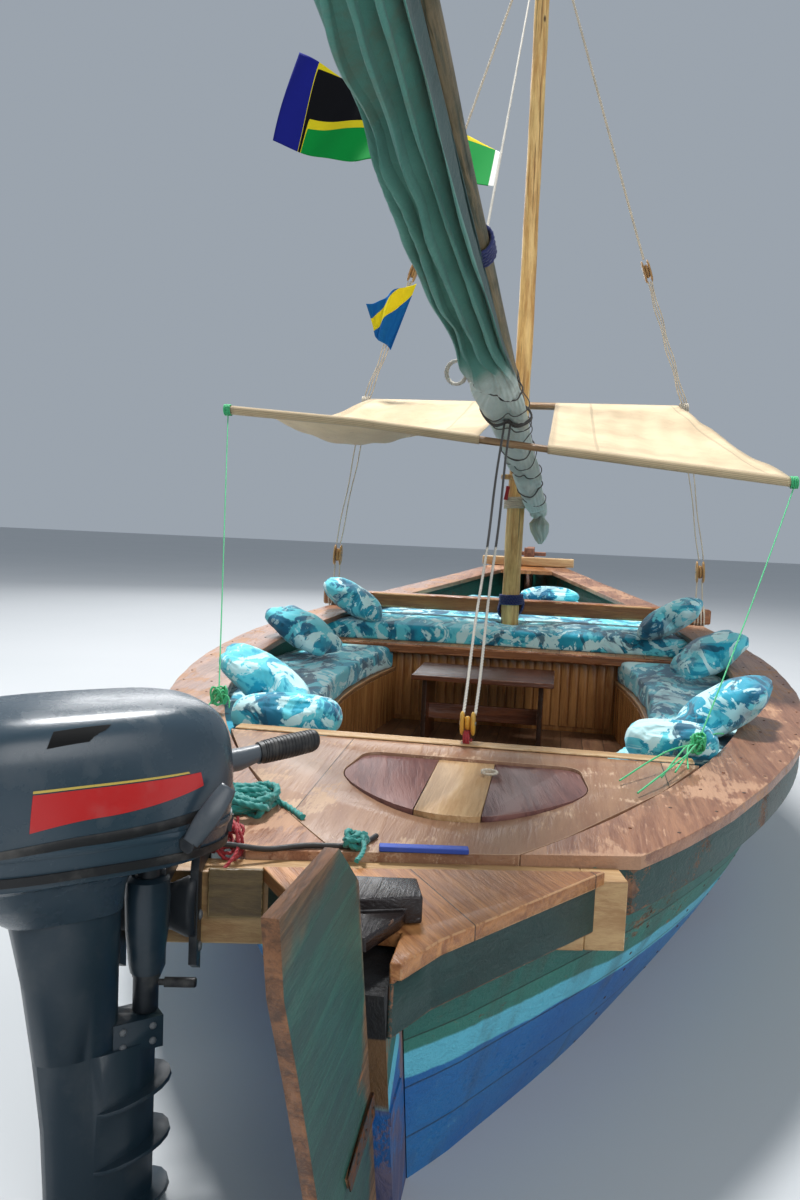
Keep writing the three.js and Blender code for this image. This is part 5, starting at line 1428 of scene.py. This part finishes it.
ties = []
for number, tie in enumerate(TIES):
    ties.append((round_roll(tie, 2 if number % 2 else 1, 0.012, 0.001), 0.003))
    if 1 < number < 5:
        ties.append((round_roll(tie, 1, TIES[number + 1] - tie, 0.001, radians(60)), 0.0025))
bundle("sail_ties", ties, "yard", GREY_ROPE)

# A parrel of five turns of hemp carries the yard on the mast; three parts of
# the same rope reach from it to the yard.
parrel = [(coil((0, 0.35, HINGE.z), (0, 0, 1), 0.064, 5, 0.066, 22), 0.0085)]
arm = sagged((0.05, 0.325, HINGE.z), (HINGE.x - 0.042, HINGE.y, HINGE.z), 0.0, 6)
parrel += [([p + Vector((0, 0, 0.012 * k)) for p in arm], 0.0085) for k in (-1, 0, 1)]
bundle("parrel_rope", parrel, "hull", HEMP, "yard_parrel")

# The rudder is a thin board of two planks with its edges worn bare, hung by
# two iron straps whose pintles turn in gudgeons on the sternpost.
# Green paint on the faces, darker than the hull's as painted shade, scraped near the head and the post, and
# raw brown edges.
RUDDER_PAINT, place = new_material("rudder_paint")
lie = mapped(place, Rotation=(0, radians(60), radians(90)))
wood = use(GRAIN, Vector=lie, Scale=1.1, Light=(0.36, 0.15, 0.06), Dark=(0.10, 0.04, 0.018))
wear = use(SCUFF, Vector=lie, Amount=0.3, Scale=4.0)
axes = axes_of(place)
waver = times(speckle(lie, 3.0, 6.0), 0.35)
high = spread(plus(axes[2], waver), 1.04, 1.10)
from_post = plus(axes[1], times(axes[2], 0.408))
fore = spread(plus(from_post, waver), -3.66, -3.62)
scraped = calc("MAXIMUM", times(calc("MAXIMUM", high, fore), 0.75), wear["Mask"])
out = axes_of(put("ShaderNodeNewGeometry").outputs["Normal"])[0]
face = spread(calc("ABSOLUTE", out), 0.6, 0.8)
# Painted shade: the faces' green is darker than the same paint on the hull.
green = mixed(wood["Height"], (0.004, 0.055, 0.043), (0.014, 0.115, 0.08))
color = mixed(scraped, green, wood["Color"])
color = mixed(face, wood["Color"], color)
color = mixed(times(wear["Dirt"], 0.35), color, (0.03, 0.035, 0.02))
dress(color, spread(scraped, 0.0, 1.0, 0.4, 0.72), wood["Height"], 0.0015)

solid("rudder", RUDDER_PAINT, "topside_paint", 0.0015, "rudder")
RUDDER_RAKE, HANGERS = 0.408, (0.318, -0.18)


def blade_front(z):
    return -3.937 - RUDDER_RAKE * (z - 0.35)


straps = []
for z in HANGERS:
    low, high = z + 0.002, z + 0.054
    outline = [(blade_front(low) - 0.002, low), (blade_front(high) - 0.002, high),
               (blade_front(high) - 0.192, high - 0.018), (blade_front(low) - 0.192, low - 0.002)]
    for side in (-1, 1):
        rings = [[Vector((side * x, y, level_z)) for y, level_z in outline] for x in (0.0142, 0.0168)]
        straps.append(closed_mesh("strap", rings))
finished(joined_pieces("rudder_straps", straps), IRON, "rudder", "black_paint")
bolts = [(Vector((side * 0.0168, blade_front(z) - run, z + 0.024)), Vector((side, 0, 0)))
         for z in HANGERS for side in (-1, 1) for run in (0.03, 0.09, 0.15)]
nail_heads("rudder_bolts", bolts, "rudder", IRON, 0.009, 0.004)

# The sternpost's head is a low block tarred black on top and worn brown on its
# sides.
HEAD_PAINT = wood_surface("head_paint", (0.34, 0.17, 0.08), (0.12, 0.05, 0.03), paint=(0.008, 0.009, 0.011),
                          worn=0.12, turn=(0, 0, 90), patch=8.0, rough=(0.25, 0.6))
solid("sternpost_head", HEAD_PAINT, "black_paint")

# The outboard motor hangs on the beam by its clamp. Its cowl and pan are
# moulded plastic in satin slate blue over a black rubber seal, with a red
# stripe and a thin gold line on each side and a black air intake at the top.
COWL = [                         # height, front, aft, half width
    (0.722, 0.128, -0.395, 0.158), (0.790, 0.138, -0.408, 0.166), (0.880, 0.136, -0.404, 0.164),
    (0.940, 0.118, -0.380, 0.150), (0.972, 0.080, -0.330, 0.118), (0.984, 0.030, -0.260, 0.070),
]
PAN = [
    (0.600, -0.052, -0.262, 0.064), (0.650, -0.052, -0.330, 0.100), (0.693, -0.040, -0.372, 0.128),
    (0.702, 0.096, -0.386, 0.150), (0.7215, 0.124, -0.392, 0.155),
]
CLAMP = (Matrix.Translation((BEAM["x"], BEAM["y"], 0)) @ Matrix.Rotation(BEAM["turn"], 4, "Z")
         @ Matrix.Translation((-0.48, 0, 0)))
MOTOR = CLAMP @ Matrix.Translation((0, -0.168, 0)) @ Matrix.Rotation(radians(-60), 4, "Z")


def rounded_off(share, power=0.62):
    """A sine or cosine drawn out to the corner of a rounded rectangle"""
    return (1 if share > 0 else -1) * abs(share) ** power


def moulded(name, table, steps, curve=linear, sides=96):
    """A moulding lofted through rounded rectangles, in the motor's frame"""
    rings = []
    for z in shares(table[0][0], table[-1][0], steps):
        front, aft, half = (curve(table, column, z) for column in (1, 2, 3))
        middle, reach = (front + aft) / 2, (front - aft) / 2
        rings.append([MOTOR @ Vector((rounded_off(sin(a)) * half, middle + rounded_off(cos(a)) * reach, z))
                      for a in rounds(sides)])
    return sharpened(closed_mesh(name, rings), 40)


def plastic(name, color, rough, coat=0.0, grime=0.25, grain=700.0):
    made, place = new_material(name, rough, Coat_Weight=coat, Coat_Roughness=0.2)
    dust = speckle(place, 14.0, 8.0, 0.65)
    fine = speckle(place, grain, 2.0)
    worn = spread(dust, 0.48, 0.74)
    tone = mixed(times(worn, grime), color, (0.3, 0.28, 0.25))
    dress(tone, spread(worn, 0.0, 1.0, rough, rough + 0.22), fine, 0.00025)
    return made


SLATE = plastic("slate_cowl", (0.032, 0.058, 0.080), 0.26, 0.35, 0.06)
SLATE_LEG = plastic("slate_leg", (0.018, 0.036, 0.052), 0.32, 0.2, 0.08)
BLACK = plastic("black_plastic", (0.012, 0.012, 0.013), 0.45, 0.0, 0.3)
RED_STRIPE = plastic("red_stripe", (0.62, 0.02, 0.02), 0.32, 0.2, 0.1)
GOLD_LINE = plastic("gold_line", (0.7, 0.5, 0.1), 0.35, 0.1, 0.1)
DARK_METAL = plastic("dark_metal", (0.014, 0.018, 0.023), 0.42, 0.0, 0.25)
GREY_METAL = plastic("grey_metal", (0.16, 0.17, 0.18), 0.38, 0.0, 0.35)
INTAKE_BLACK = plastic("intake_black", (0.001, 0.001, 0.001), 0.9, 0.0, 0.02)
LEVER_GREY = plastic("lever_grey", (0.075, 0.09, 0.105), 0.35, 0.1, 0.15)
finished(moulded("cowl_shell", COWL, 60, along), SLATE, "motor", "cowl_paint", "motor_cowl")
finished(moulded("pan_shell", PAN, 40), SLATE, "motor", "motor_paint", "motor_pan")
seal = moulded("cowl_seal", [(0.715, 0.132, -0.399, 0.162), (0.73, 0.133, -0.4, 0.163)], 2)
finished(seal, BLACK, "motor", "motor_dark")
ridge = moulded("cowl_ridge", [(0.756, 0.1365, -0.4055, 0.1645), (0.762, 0.139, -0.408, 0.167),
                               (0.770, 0.1385, -0.408, 0.1665)], 4, along)
finished(ridge, SLATE, "motor", "cowl_paint")


def on_cowl(share, z, out=0.0):
    """A point on the cowl's skin; share 0 is its front and runs to starboard"""
    front, aft, half = (along(COWL, column, z) for column in (1, 2, 3))
    a = 2 * pi * share
    middle, reach = (front + aft) / 2, (front - aft) / 2
    x, y = rounded_off(sin(a)) * (half + out), middle + rounded_off(cos(a)) * (reach + out)
    return MOTOR @ Vector((x, y, z))


def cowl_patch(name, ends_low, ends_high, lows, highs, thick=0.0012, steps=40, rows=8):
    """A thin raised patch on the cowl between two slanting ends and two edges, each (from, to)"""
    rings = []
    for t in shares(0, 1, steps):
        ring = []
        low, high = lows[0] + (lows[1] - lows[0]) * t, highs[0] + (highs[1] - highs[0]) * t
        for out, order in ((thick, range(rows + 1)), (-0.002, range(rows, -1, -1))):
            for k in order:
                v = k / rows
                start = ends_low[0] + (ends_high[0] - ends_low[0]) * v
                end = ends_low[1] + (ends_high[1] - ends_low[1]) * v
                ring.append(on_cowl(start + (end - start) * t, low + (high - low) * v, out))
        rings.append(ring)
    return sharpened(closed_mesh(name, rings), 40)


for side_name, turn in (("starboard", 1), ("port", -1)):
    def around(a, b):
        return (a, b) if turn > 0 else (1 - a, 1 - b)

    stripe = cowl_patch("red_stripe_" + side_name, around(0.288, 0.166), around(0.286, 0.170), (0.802, 0.844),
                        (0.863, 0.868), rows=16)
    finished(stripe, RED_STRIPE, "motor", "cowl_paint")
    gold = cowl_patch("gold_line_" + side_name, around(0.286, 0.186), around(0.286, 0.188), (0.8655, 0.8695),
                      (0.8695, 0.8725), rows=2)
    finished(gold, GOLD_LINE, "motor", "cowl_paint")
    intake = cowl_patch("air_intake_" + side_name, around(0.279, 0.253), around(0.277, 0.248), (0.933, 0.939),
                        (0.957, 0.961), 0.0008, 12, 6)
    finished(intake, INTAKE_BLACK, "motor", "motor_dark")

BAND = [                         # out of the cowl's skin, up
    (-0.003, -0.009), (0.0016, -0.009), (0.0034, -0.004), (0.0034, 0.004), (0.0016, 0.009), (-0.003, 0.009),
]
rings = []
for share in shares(0, 1, 120):
    z = 0.779 + 0.028 * cos(2 * pi * share)
    rings.append([on_cowl(share, z + dz, out) for out, dz in BAND])
finished(sharpened(closed_mesh("seam_band", rings), 40), BLACK, "motor", "motor_dark")

# The leg and gearcase are cast aluminium painted like the pan, with bolt
# heads on their sides; the clamp and the swivel are dark castings.
solid("motor_leg", SLATE_LEG, "motor_paint", 0.0025, "motor")


def side_bolts(name, pose, half, spots, body, radius, rise):
    """Bolt heads on both sides of a casting, at places along and up"""
    bolts = [(pose @ Vector((side * half, y, z)), pose.to_3x3() @ Vector((side, 0, 0)))
             for side in (-1, 1) for y, z in spots]
    nail_heads(name, bolts, body, GREY_METAL, radius, rise, "motor_paint")


LEG_BOLTS = [(y, z) for y in (-0.052, 0.004) for z in (0.332, 0.361)]
CLAMP_BOLTS = [(-0.062, 0.455), (-0.062, 0.52), (0.0, 0.64), (-0.034, 0.645)]
side_bolts("leg_bolts", MOTOR, 0.0342, LEG_BOLTS, "motor", 0.0075, 0.005)
solid("propeller", GREY_METAL, "propeller_metal", 0.001, "propeller")
solid("motor_clamp", DARK_METAL, "motor_dark", segments=3)
solid("motor_swivel", DARK_METAL, "motor_dark", 0.003, "motor_swivel")
side_bolts("clamp_bolts", CLAMP, 0.0825, CLAMP_BOLTS, "hull", 0.011, 0.006)

# The tiller is a cast arm with a ribbed black rubber grip and a steel shift
# lever beside it.
TILLER = [(0.1379, 0.838, 0.024), (0.18, 0.842, 0.022), (0.215, 0.850, 0.0175)]


def turned(name, profile, sides=28, frame_of=MOTOR):
    """A round part along the motor's Y: place, height, radius"""
    rings = [[frame_of @ Vector((radius * sin(a), y, z + radius * cos(a))) for a in rounds(sides)]
             for y, z, radius in profile]
    return sharpened(closed_mesh(name, rings), 30)


finished(turned("tiller_arm", TILLER + [(0.222, 0.851, 0.0175)]), LEVER_GREY, "motor", "motor_dark", "tiller")
grip = []
for t in shares(0, 1, 112):
    rib = 0.0012 if 0.08 < t < 0.92 and sin(t * 2 * pi * 18) > 0 else 0.0
    bulge = 0.0215 + 0.0015 * sin(pi * t) - (0.004 * ((t - 0.94) / 0.06) ** 2 if t > 0.94 else 0.0)
    grip.append((0.2165 + 0.128 * t, 0.850 + 0.016 * t, bulge + rib))
finished(turned("tiller_grip", grip, 36), BLACK, "motor", "motor_dark", "tiller")
low, high = on_cowl(0.194, 0.752, 0.020), on_cowl(0.150, 0.842, 0.030)
reach = high - low
across = reach.cross(Vector((0.33, -0.9, 0.27))).normalized()
outward = across.cross(reach).normalized()
rings = []
for t in shares(0, 1, 24):
    half = 0.0125 + 0.005 * sin(pi * t)
    bow = outward * 0.010 * sin(pi * t)
    rings.append([low + reach * t + bow + across * half * cos(a) * (1.15 - 0.15 * abs(sin(a)))
                  + outward * 0.006 * sin(a) for a in rounds(20)])
finished(closed_mesh("shift_lever", rings), LEVER_GREY, "motor", "motor_paint")
boss = [(-0.012, 0, 0.013), (-0.010, 0, 0.016), (0.010, 0, 0.016), (0.012, 0, 0.013)]
pivot = turned("lever_pivot", boss, 24,
               Matrix.Translation(low - outward * 0.012) @ Matrix.Rotation(radians(-18), 4, "Z"))
finished(pivot, DARK_METAL, "motor", "motor_dark")
latch = cowl_patch("cowl_latch", (0.955, 1.045), (0.962, 1.038), (0.726, 0.726), (0.756, 0.756), 0.01, 12, 6)
finished(latch, BLACK, "motor", "motor_dark")
handle = turned("tilt_handle", [(0.024, 0, 0.006), (0.034, 0, 0.006), (0.035, 0, 0.0095), (0.092, 0, 0.0095),
                                (0.095, 0, 0.007)], 20,
                CLAMP @ Matrix.Translation((0, -0.168, 0.432)) @ Matrix.Rotation(radians(-90), 4, "Z"))
finished(handle, BLACK, "motor_swivel", "motor_dark")
housing = [(z, 0, radius) for z, radius in (
    (-0.64, 0.030), (-0.634, 0.040), (-0.60, 0.042), (-0.54, 0.040), (-0.47, 0.033), (-0.455, 0.030))]
upright = CLAMP @ Matrix.Translation((0, -0.168, 0)) @ Matrix.Rotation(radians(-90), 4, "X")
finished(turned("swivel_housing", housing, 32, upright), SLATE_LEG, "motor_swivel", "motor_dark")
rings = []
for x, shrink in ((-0.079, 0.0), (-0.07, 0.006), (0.03, 0.008), (0.06, 0.0), (0.079, 0.0)):
    rings.append([CLAMP @ Vector((x, -0.083 + (0.022 - shrink) * cos(a) * (1 + 0.2 * cos(2 * a)),
                                  0.545 + (0.07 - shrink * 2) * sin(a) * (1 + 0.12 * cos(2 * a))))
                  for a in rounds(36)])
finished(closed_mesh("clamp_web", rings), DARK_METAL, "hull", "motor_dark")
clamp_pad = timber("clamp_pad", 0.11, 0.012, 0.10, (0, 0, 0), 0, 0.003)
clamp_pad.data.transform(CLAMP @ Matrix.Translation((0.150, -0.0465, 0.560)))
OLIVE_WOOD = wood_surface("olive_wood", (0.3, 0.2, 0.07), (0.13, 0.08, 0.03), worn=0.3, rough=(0.35, 0.6))
finished(clamp_pad, OLIVE_WOOD, "hull", "pine")

# Seat pads, the platform pad, two bolsters and seven pillows: foam and loose
# fibre in cotton covers printed with blotches of turquoise, teal and white.
# A blotchy batik: turquoise fields, dark teal zones and pale lacy veins.
CUSHION_PRINT, place = new_material("cushion_print", 0.8, Sheen_Weight=0.3)
drawn = mapped(place, Scale=(1.25, 0.6, 1.3))
field = speckle(drawn, 2.4, 3.0, 0.5, 0.8)
lace = speckle(drawn, 4.6, 6.0, 0.6, 1.2)
vein = speckle(drawn, 6.6, 6.0, 0.62, 1.5)
color = mixed(spread(field, 0.38, 0.58), (0.002, 0.13, 0.24), (0.008, 0.38, 0.54))
color = mixed(spread(lace, 0.5, 0.55), color, (0.13, 0.66, 0.76))
pale = times(spread(vein, 0.515, 0.54), spread(field, 0.36, 0.5, 0.45, 1.0))
color = mixed(pale, color, (0.62, 0.92, 0.93))
color = mixed(spread(lace, 0.43, 0.39, 0.0, 0.85), color, (0.001, 0.075, 0.14))
weave = speckle(place, 900.0, 2.0)
dress(color, None, weave, 0.0003)


PILLOW_LIE = {                   # long, wide, turn about Z and slope across
    "pillow_port_aft": (0.350, 0.340, 14, 32), "pillow_port_middle": (0.350, 0.310, -12, 30),
    "pillow_port_fore": (0.370, 0.390, 10, 30), "pillow_starboard_aft": (0.330, 0.340, -16, -34),
    "pillow_starboard_middle": (0.320, 0.310, 10, -34), "pillow_starboard_fore": (0.350, 0.380, -12, -32),
    "pillow_bow": (0.400, 0.240, 24, 0),
}


def cornered(node, place, middle):
    """Where a square sewn pillow has a point of a round one: full middle, thin edges, four ears"""
    long, wide, turn, slope = PILLOW_LIE[node]
    pose = Matrix.Rotation(radians(turn), 3, "Z") @ Matrix.Rotation(radians(slope), 3, "Y")
    local = pose.transposed() @ (place - middle)
    x, y = local.x / long * 2, local.y / wide * 2
    rim = max(abs(x), abs(y), 0.001)
    ears = abs(x * y)
    ease = 1 + 0.17 * ears - 0.07 * max(rim - 0.6, 0.0) * (1 - ears)
    flat = 1 - 0.55 * min(rim, 1.0) ** 3
    return middle + pose @ Vector((local.x * ease, local.y * ease, local.z * flat))


CLOTH = {"quality": 5, "mass": 0.3, "tension_stiffness": 15, "compression_stiffness": 15,
         "shear_stiffness": 8, "bending_stiffness": 0.08, "use_pressure": True}


def puffed(node, cell, pressure, cap, start, frames, shrink, stitch=None):
    """A cover blown up by cloth simulation from a copy of its CAD solid"""
    piece = new_object(node + "_cover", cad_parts[node].data.copy())
    low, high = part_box(node)
    middle = (low + high) / 2
    remesh = piece.modifiers.new("grid", "REMESH")
    remesh.mode, remesh.voxel_size = "VOXEL", cell
    piece = applied(piece)
    data = piece.data
    if node in PILLOW_LIE:
        for vert in data.vertices:
            vert.co = cornered(node, vert.co, middle)
    first = [vert.co.copy() for vert in data.vertices]
    for vert in data.vertices:
        vert.co = middle + (vert.co - middle) * start
    cloth = piece.modifiers.new("cloth", "CLOTH")
    for key, value in CLOTH.items():
        setattr(cloth.settings, key, value)
    cloth.settings.uniform_pressure_force = pressure
    cloth.settings.shrink_min = shrink
    cloth.settings.effector_weights.gravity = 0.0
    cloth.collision_settings.use_collision = False
    cloth.point_cache.frame_start, cloth.point_cache.frame_end = 1, frames
    for number in range(1, frames + 1):
        bpy.context.scene.frame_set(number)
        bpy.context.evaluated_depsgraph_get().update()
    piece = applied(piece)
    bpy.context.scene.frame_set(1)
    for vert, home in zip(piece.data.vertices, first):
        moved = vert.co - home
        if moved.length > cap:
            vert.co = home + moved * (cap / moved.length)
        if stitch:
            vert.co = stitch(vert.co, home)
    finer = piece.modifiers.new("finer", "SUBSURF")
    finer.levels = finer.render_levels = 1
    piece = applied(piece)
    piece.data.shade_smooth()
    return finished(piece, CUSHION_PRINT, "hull", "cushion_fabric", node)


for node in PILLOW_LIE:
    puffed(node, 0.0075, 2.5, 0.02, 0.965, 18, -0.12)


def centre_line(y_middle, deep):
    """A row of stitches that draws a bolster's cover in along its length"""
    def drawn(place, home):
        near = max(1 - abs(home.y - y_middle) / 0.02, 0.0)
        out = 1 if home.z > 0.675 else 0
        return place - Vector((0, 0, deep * near * near * out))
    return drawn


for node in ("bolster_port", "bolster_starboard"):
    puffed(node, 0.0065, 4.0, 0.015, 0.965, 18, -0.09, centre_line(-2.445, 0.012))
for node, cell in (("seat_pad_port", 0.0135), ("seat_pad_starboard", 0.0135), ("platform_pad", 0.017)):
    puffed(node, cell, 5.0, 0.016, 0.988, 16, -0.09)

# A light tackle holds the yard down to the aft deck: a dark and a white fall
# to a yellow block with a red strop. Green lines tie the awning's aft pole to
# the rails, and a teal lashing holds the motor's beam.
YARD_POINT = Vector((0.03, -1.42, 1.745))
DECK_POINT = Vector((0.028, -2.615, 0.648))
for k, x in enumerate((-0.012, 0.014)):
    top, bottom = YARD_POINT + Vector((x, 0, 0)), DECK_POINT + Vector((x * 1.4, 0.02, 0.10))
    line = sagged(top, bottom, 0.012, 18, 0.002, 2, k)
    for part, finish, points in (("upper", GREY_ROPE, line[:10]), ("lower", WHITE_ROPE, line[9:])):
        fall = laid(f"tackle_{part}_{k}", points, 0.0055, finish)
        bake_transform(fall)
YELLOW = plastic("yellow_block", (0.75, 0.42, 0.05), 0.35, 0.2, 0.2)
wooden_block("tackle_block", DECK_POINT + Vector((0, 0.01, 0.075)), 0.085, 0.05, 0.045, (0.5, 0, 0), YELLOW)
strop = [(coil(DECK_POINT + Vector((0, 0.008, 0.03)), (1, 0.2 * k, 0), 0.022, 2, 0.016, 14, k), 0.004)
         for k in (-1, 1)]
bundle("tackle_strop", strop, "hull", RED_LINE)
rope("tackle_seizing", round_roll(1.70, 3, 0.012, 0.001), 0.0045, "yard", GREY_ROPE)

TIE_DOWNS = [                    # side, pole's end, knot at the rail, tails
    ("port", (-1.165, -1.43, 1.76), (-0.80, -2.47, 0.725), ((-0.02, -0.08, -0.04), (0.05, -0.04, -0.03))),
    ("starboard", (1.165, -1.43, 1.532), (0.70, -2.56, 0.705),
     ((-0.13, -0.30, -0.035), (-0.20, -0.42, -0.05), (-0.24, -0.33, -0.045), (0.06, 0.10, -0.02),
      (0.10, 0.17, 0.0), (-0.05, -0.20, -0.03), (-0.09, -0.25, -0.03))),
]
for side_name, head, knot, tails in TIE_DOWNS:
    head, knot = Vector(head), Vector(knot)
    lines = [(sagged(head - Vector((0, 0, 0.02)), knot, 0.02, 18), 0.0028),
             (coil(head, (1, 0, 0), 0.022, 5, 0.03, 14), 0.0032),
             (tangle(knot, (0.018, 0.022, 0.030), 26), 0.0035)]
    for number, tail in enumerate(tails):
        end = knot + Vector(tail)
        side = Vector((0.02 * sin(number * 2.1), 0.02 * cos(number * 1.7), 0.012))
        middle = knot.lerp(end, 0.5) + side
        lines.append(([knot, knot.lerp(middle, 0.6) + side * 0.5, middle, end], 0.0028))
    bundle("tie_down_" + side_name, lines, "hull", GREEN_LINE)

TEAL_LOOP = [(-0.50, -3.42, 0.634), (-0.46, -3.34, 0.652), (-0.40, -3.29, 0.656), (-0.35, -3.28, 0.640),
             (-0.31, -3.31, 0.633), (-0.275, -3.355, 0.634)]
TEAL_TAIL = [(-0.12, -3.48, 0.636), (-0.10, -3.515, 0.643), (-0.095, -3.55, 0.634), (-0.10, -3.585, 0.628)]
big_knot = tangle((-0.425, -3.32, 0.655), (0.075, 0.060, 0.020), 30)
end_knot = tangle((-0.12, -3.49, 0.642), (0.022, 0.022, 0.014), 16, 0.7)
bundle("teal_lashing", [(big_knot, 0.0095), (TEAL_LOOP, 0.0085), (end_knot, 0.007), (TEAL_TAIL, 0.006)],
       "hull", TEAL_ROPE)
RED_TAIL = [(-0.42, -3.50, 0.66), (-0.39, -3.53, 0.675), (-0.36, -3.56, 0.655), (-0.35, -3.60, 0.625),
            (-0.365, -3.63, 0.600)]
bundle("red_lashing", [(tangle((-0.385, -3.545, 0.635), (0.030, 0.030, 0.045), 22, 0.4), 0.0045),
                       (RED_TAIL, 0.0045)], "hull", RED_LINE)

BLUE_STRIP = plastic("blue_strip", (0.03, 0.08, 0.42), 0.6, 0.0, 0.2)
strip = timber("blue_strip", 0.19, 0.026, 0.012, (0.022, -3.474, rail_top(-3.474) + 0.007), 10, 0.003)
finished(strip, BLUE_STRIP, "hull", "motor_dark")
beam_end = timber("beam_end", 0.085, 0.078, 0.148, (0.398, -3.442, 0.5255), 12, 0.003)
finished(beam_end, PINE, "hull", "pine")
ring = coil((-0.15, -1.76, 1.885), (0.35, 1, 0.15), 0.043, 2, 0.02, 22)
ring_tie = coil((-0.088, -1.76, 1.872), (1, 0.1, -0.1), 0.02, 3, 0.04, 14)
bundle("rope_ring", [(ring, 0.0075), (ring_tie, 0.006)], "yard", WHITE_ROPE)
loop = coil((0.118, -2.90, rail_top(-2.9) + 0.008), (0, 0, 1), 0.02, 1.5, 0.006, 16)
rope("hatch_loop", loop, 0.0045, "hatch", HEMP)

# Two flags of thin nylon with plain stripes: a long one on the halyard
# between masthead and yard, a small one on the port shroud.
MASTHEAD = Vector((-0.01, 0.31, 4.72))
SLUNG_AT = 2.96                  # aft of the hinge
SLING = yard_at(SLUNG_AT) + Vector((0.02, 0, 0.035))
halyard = laid("halyard", sagged(MASTHEAD, SLING, 0.01, 24), 0.0045, WHITE_ROPE)
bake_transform(halyard)
sling_turns = coil(yard_at(SLUNG_AT), yard_ahead, yard_radius(SLUNG_AT) + 0.007, 6, 0.09, 22)
rope("yard_sling", sling_turns, 0.0065, "yard", NAVY_ROPE)


def flag_cloth(name, bands, slope, hoist=None, turned=None):
    """Stripes by a slanting share of the flag, (from, colour) rows, and a fly end turned over"""
    made, place = new_material(name, 0.9, Specular_IOR_Level=0.1)
    flat = put("ShaderNodeTexCoord").outputs["UV"]
    axes = axes_of(flat)
    share = plus(times(axes[0], slope[0]), times(axes[1], slope[1]))
    if turned:
        share = plus(share, spread(axes[0], turned, turned + 0.05, 0.0, 1.5))
    color = mixed(0.0, bands[0][1], bands[0][1])
    for start, tint in bands[1:]:
        color = mixed(calc("GREATER_THAN", share, start), color, tint)
    if hoist:
        color = mixed(calc("LESS_THAN", axes[0], hoist), color, (0.85, 0.84, 0.8))
    dress(color, None, speckle(place, 500.0, 2.0), 0.0003)
    return made


def flag(name, corners, waves, material):
    """A flag between four corners: hoist foot, hoist head, fly head, fly foot"""
    foot, head, fly_head, fly_foot = (Vector(c) for c in corners)
    deep, count = waves

    def spot(u, v):
        at = foot.lerp(head, v).lerp(fly_foot.lerp(fly_head, v), u)
        ripple = sin(2 * pi * count * u + 1.4 * v) + 0.4 * sin(2 * pi * count * 2.3 * u + 3 * v)
        return at + Vector((0.12 * ripple, 1.0 * ripple, 0.25 * sin(pi * 2 * u))) * deep * min(u * 4, 1.0)

    piece = thickened(cloth_grid(name, shares(0, 1, 40), shares(0, 1, 90), spot), 0.0009)
    piece.data.materials.clear()
    piece.data.materials.append(material)
    return piece


YELLOW_CLOTH, GREEN_CLOTH, BLACK_CLOTH = (0.85, 0.68, 0.02), (0.005, 0.30, 0.05), (0.008, 0.008, 0.01)
NAVY_CLOTH, AZURE_CLOTH = (0.015, 0.02, 0.24), (0.01, 0.12, 0.36)
long_bands = [(0, GREEN_CLOTH), (0.80, YELLOW_CLOTH), (0.88, BLACK_CLOTH), (1.30, YELLOW_CLOTH),
              (1.38, NAVY_CLOTH)]
long_cloth = flag_cloth("long_flag_cloth", long_bands, (0.62, 3.4), 0.03, 0.93)
LONG_CORNERS = [(0.017, -2.41, 2.345), (0.015, -2.21, 2.52), (-0.74, -1.95, 2.97), (-0.83, -1.93, 2.67)]
long_flag = flag("long_flag", LONG_CORNERS, (0.035, 1.6), long_cloth)
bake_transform(long_flag)
small_bands = [(0, AZURE_CLOTH), (0.17, YELLOW_CLOTH), (0.25, AZURE_CLOTH)]
small_cloth = flag_cloth("small_flag_cloth", small_bands, (0.6, 0.62))
SMALL_CORNERS = [(-0.79, 0.335, 2.33), (-0.65, 0.335, 2.72), (-0.95, 0.33, 2.60), (-0.90, 0.34, 2.42)]
small_flag = flag("small_flag", SMALL_CORNERS, (0.03, 1.3), small_cloth)
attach(small_flag, "hull")

# A twist of red cotton and a small wooden chock are tied to the mast over
# the parrel.
RED_CLOTH = rope_fibre("red_cloth", (0.5, 0.02, 0.03), (0.2, 0.005, 0.01), 0.8, dirt=0.2)
RAGS = [[(-0.05, 0.295, 1.545), (-0.06, 0.29, 1.52), (-0.05, 0.288, 1.49), (-0.058, 0.285, 1.465)],
        [(0.05, 0.29, 1.555), (0.062, 0.285, 1.53), (0.056, 0.283, 1.50)]]
bundle("red_rag", [(points, 0.014) for points in RAGS], "hull", RED_CLOTH, slot="sailcloth", lay=0.5)
chock = timber("mast_chock", 0.075, 0.05, 0.03, (-0.052, 0.305, 1.60), 20, 0.006)
finished(chock, BLOCK_WOOD, "hull", "varnished_wood")
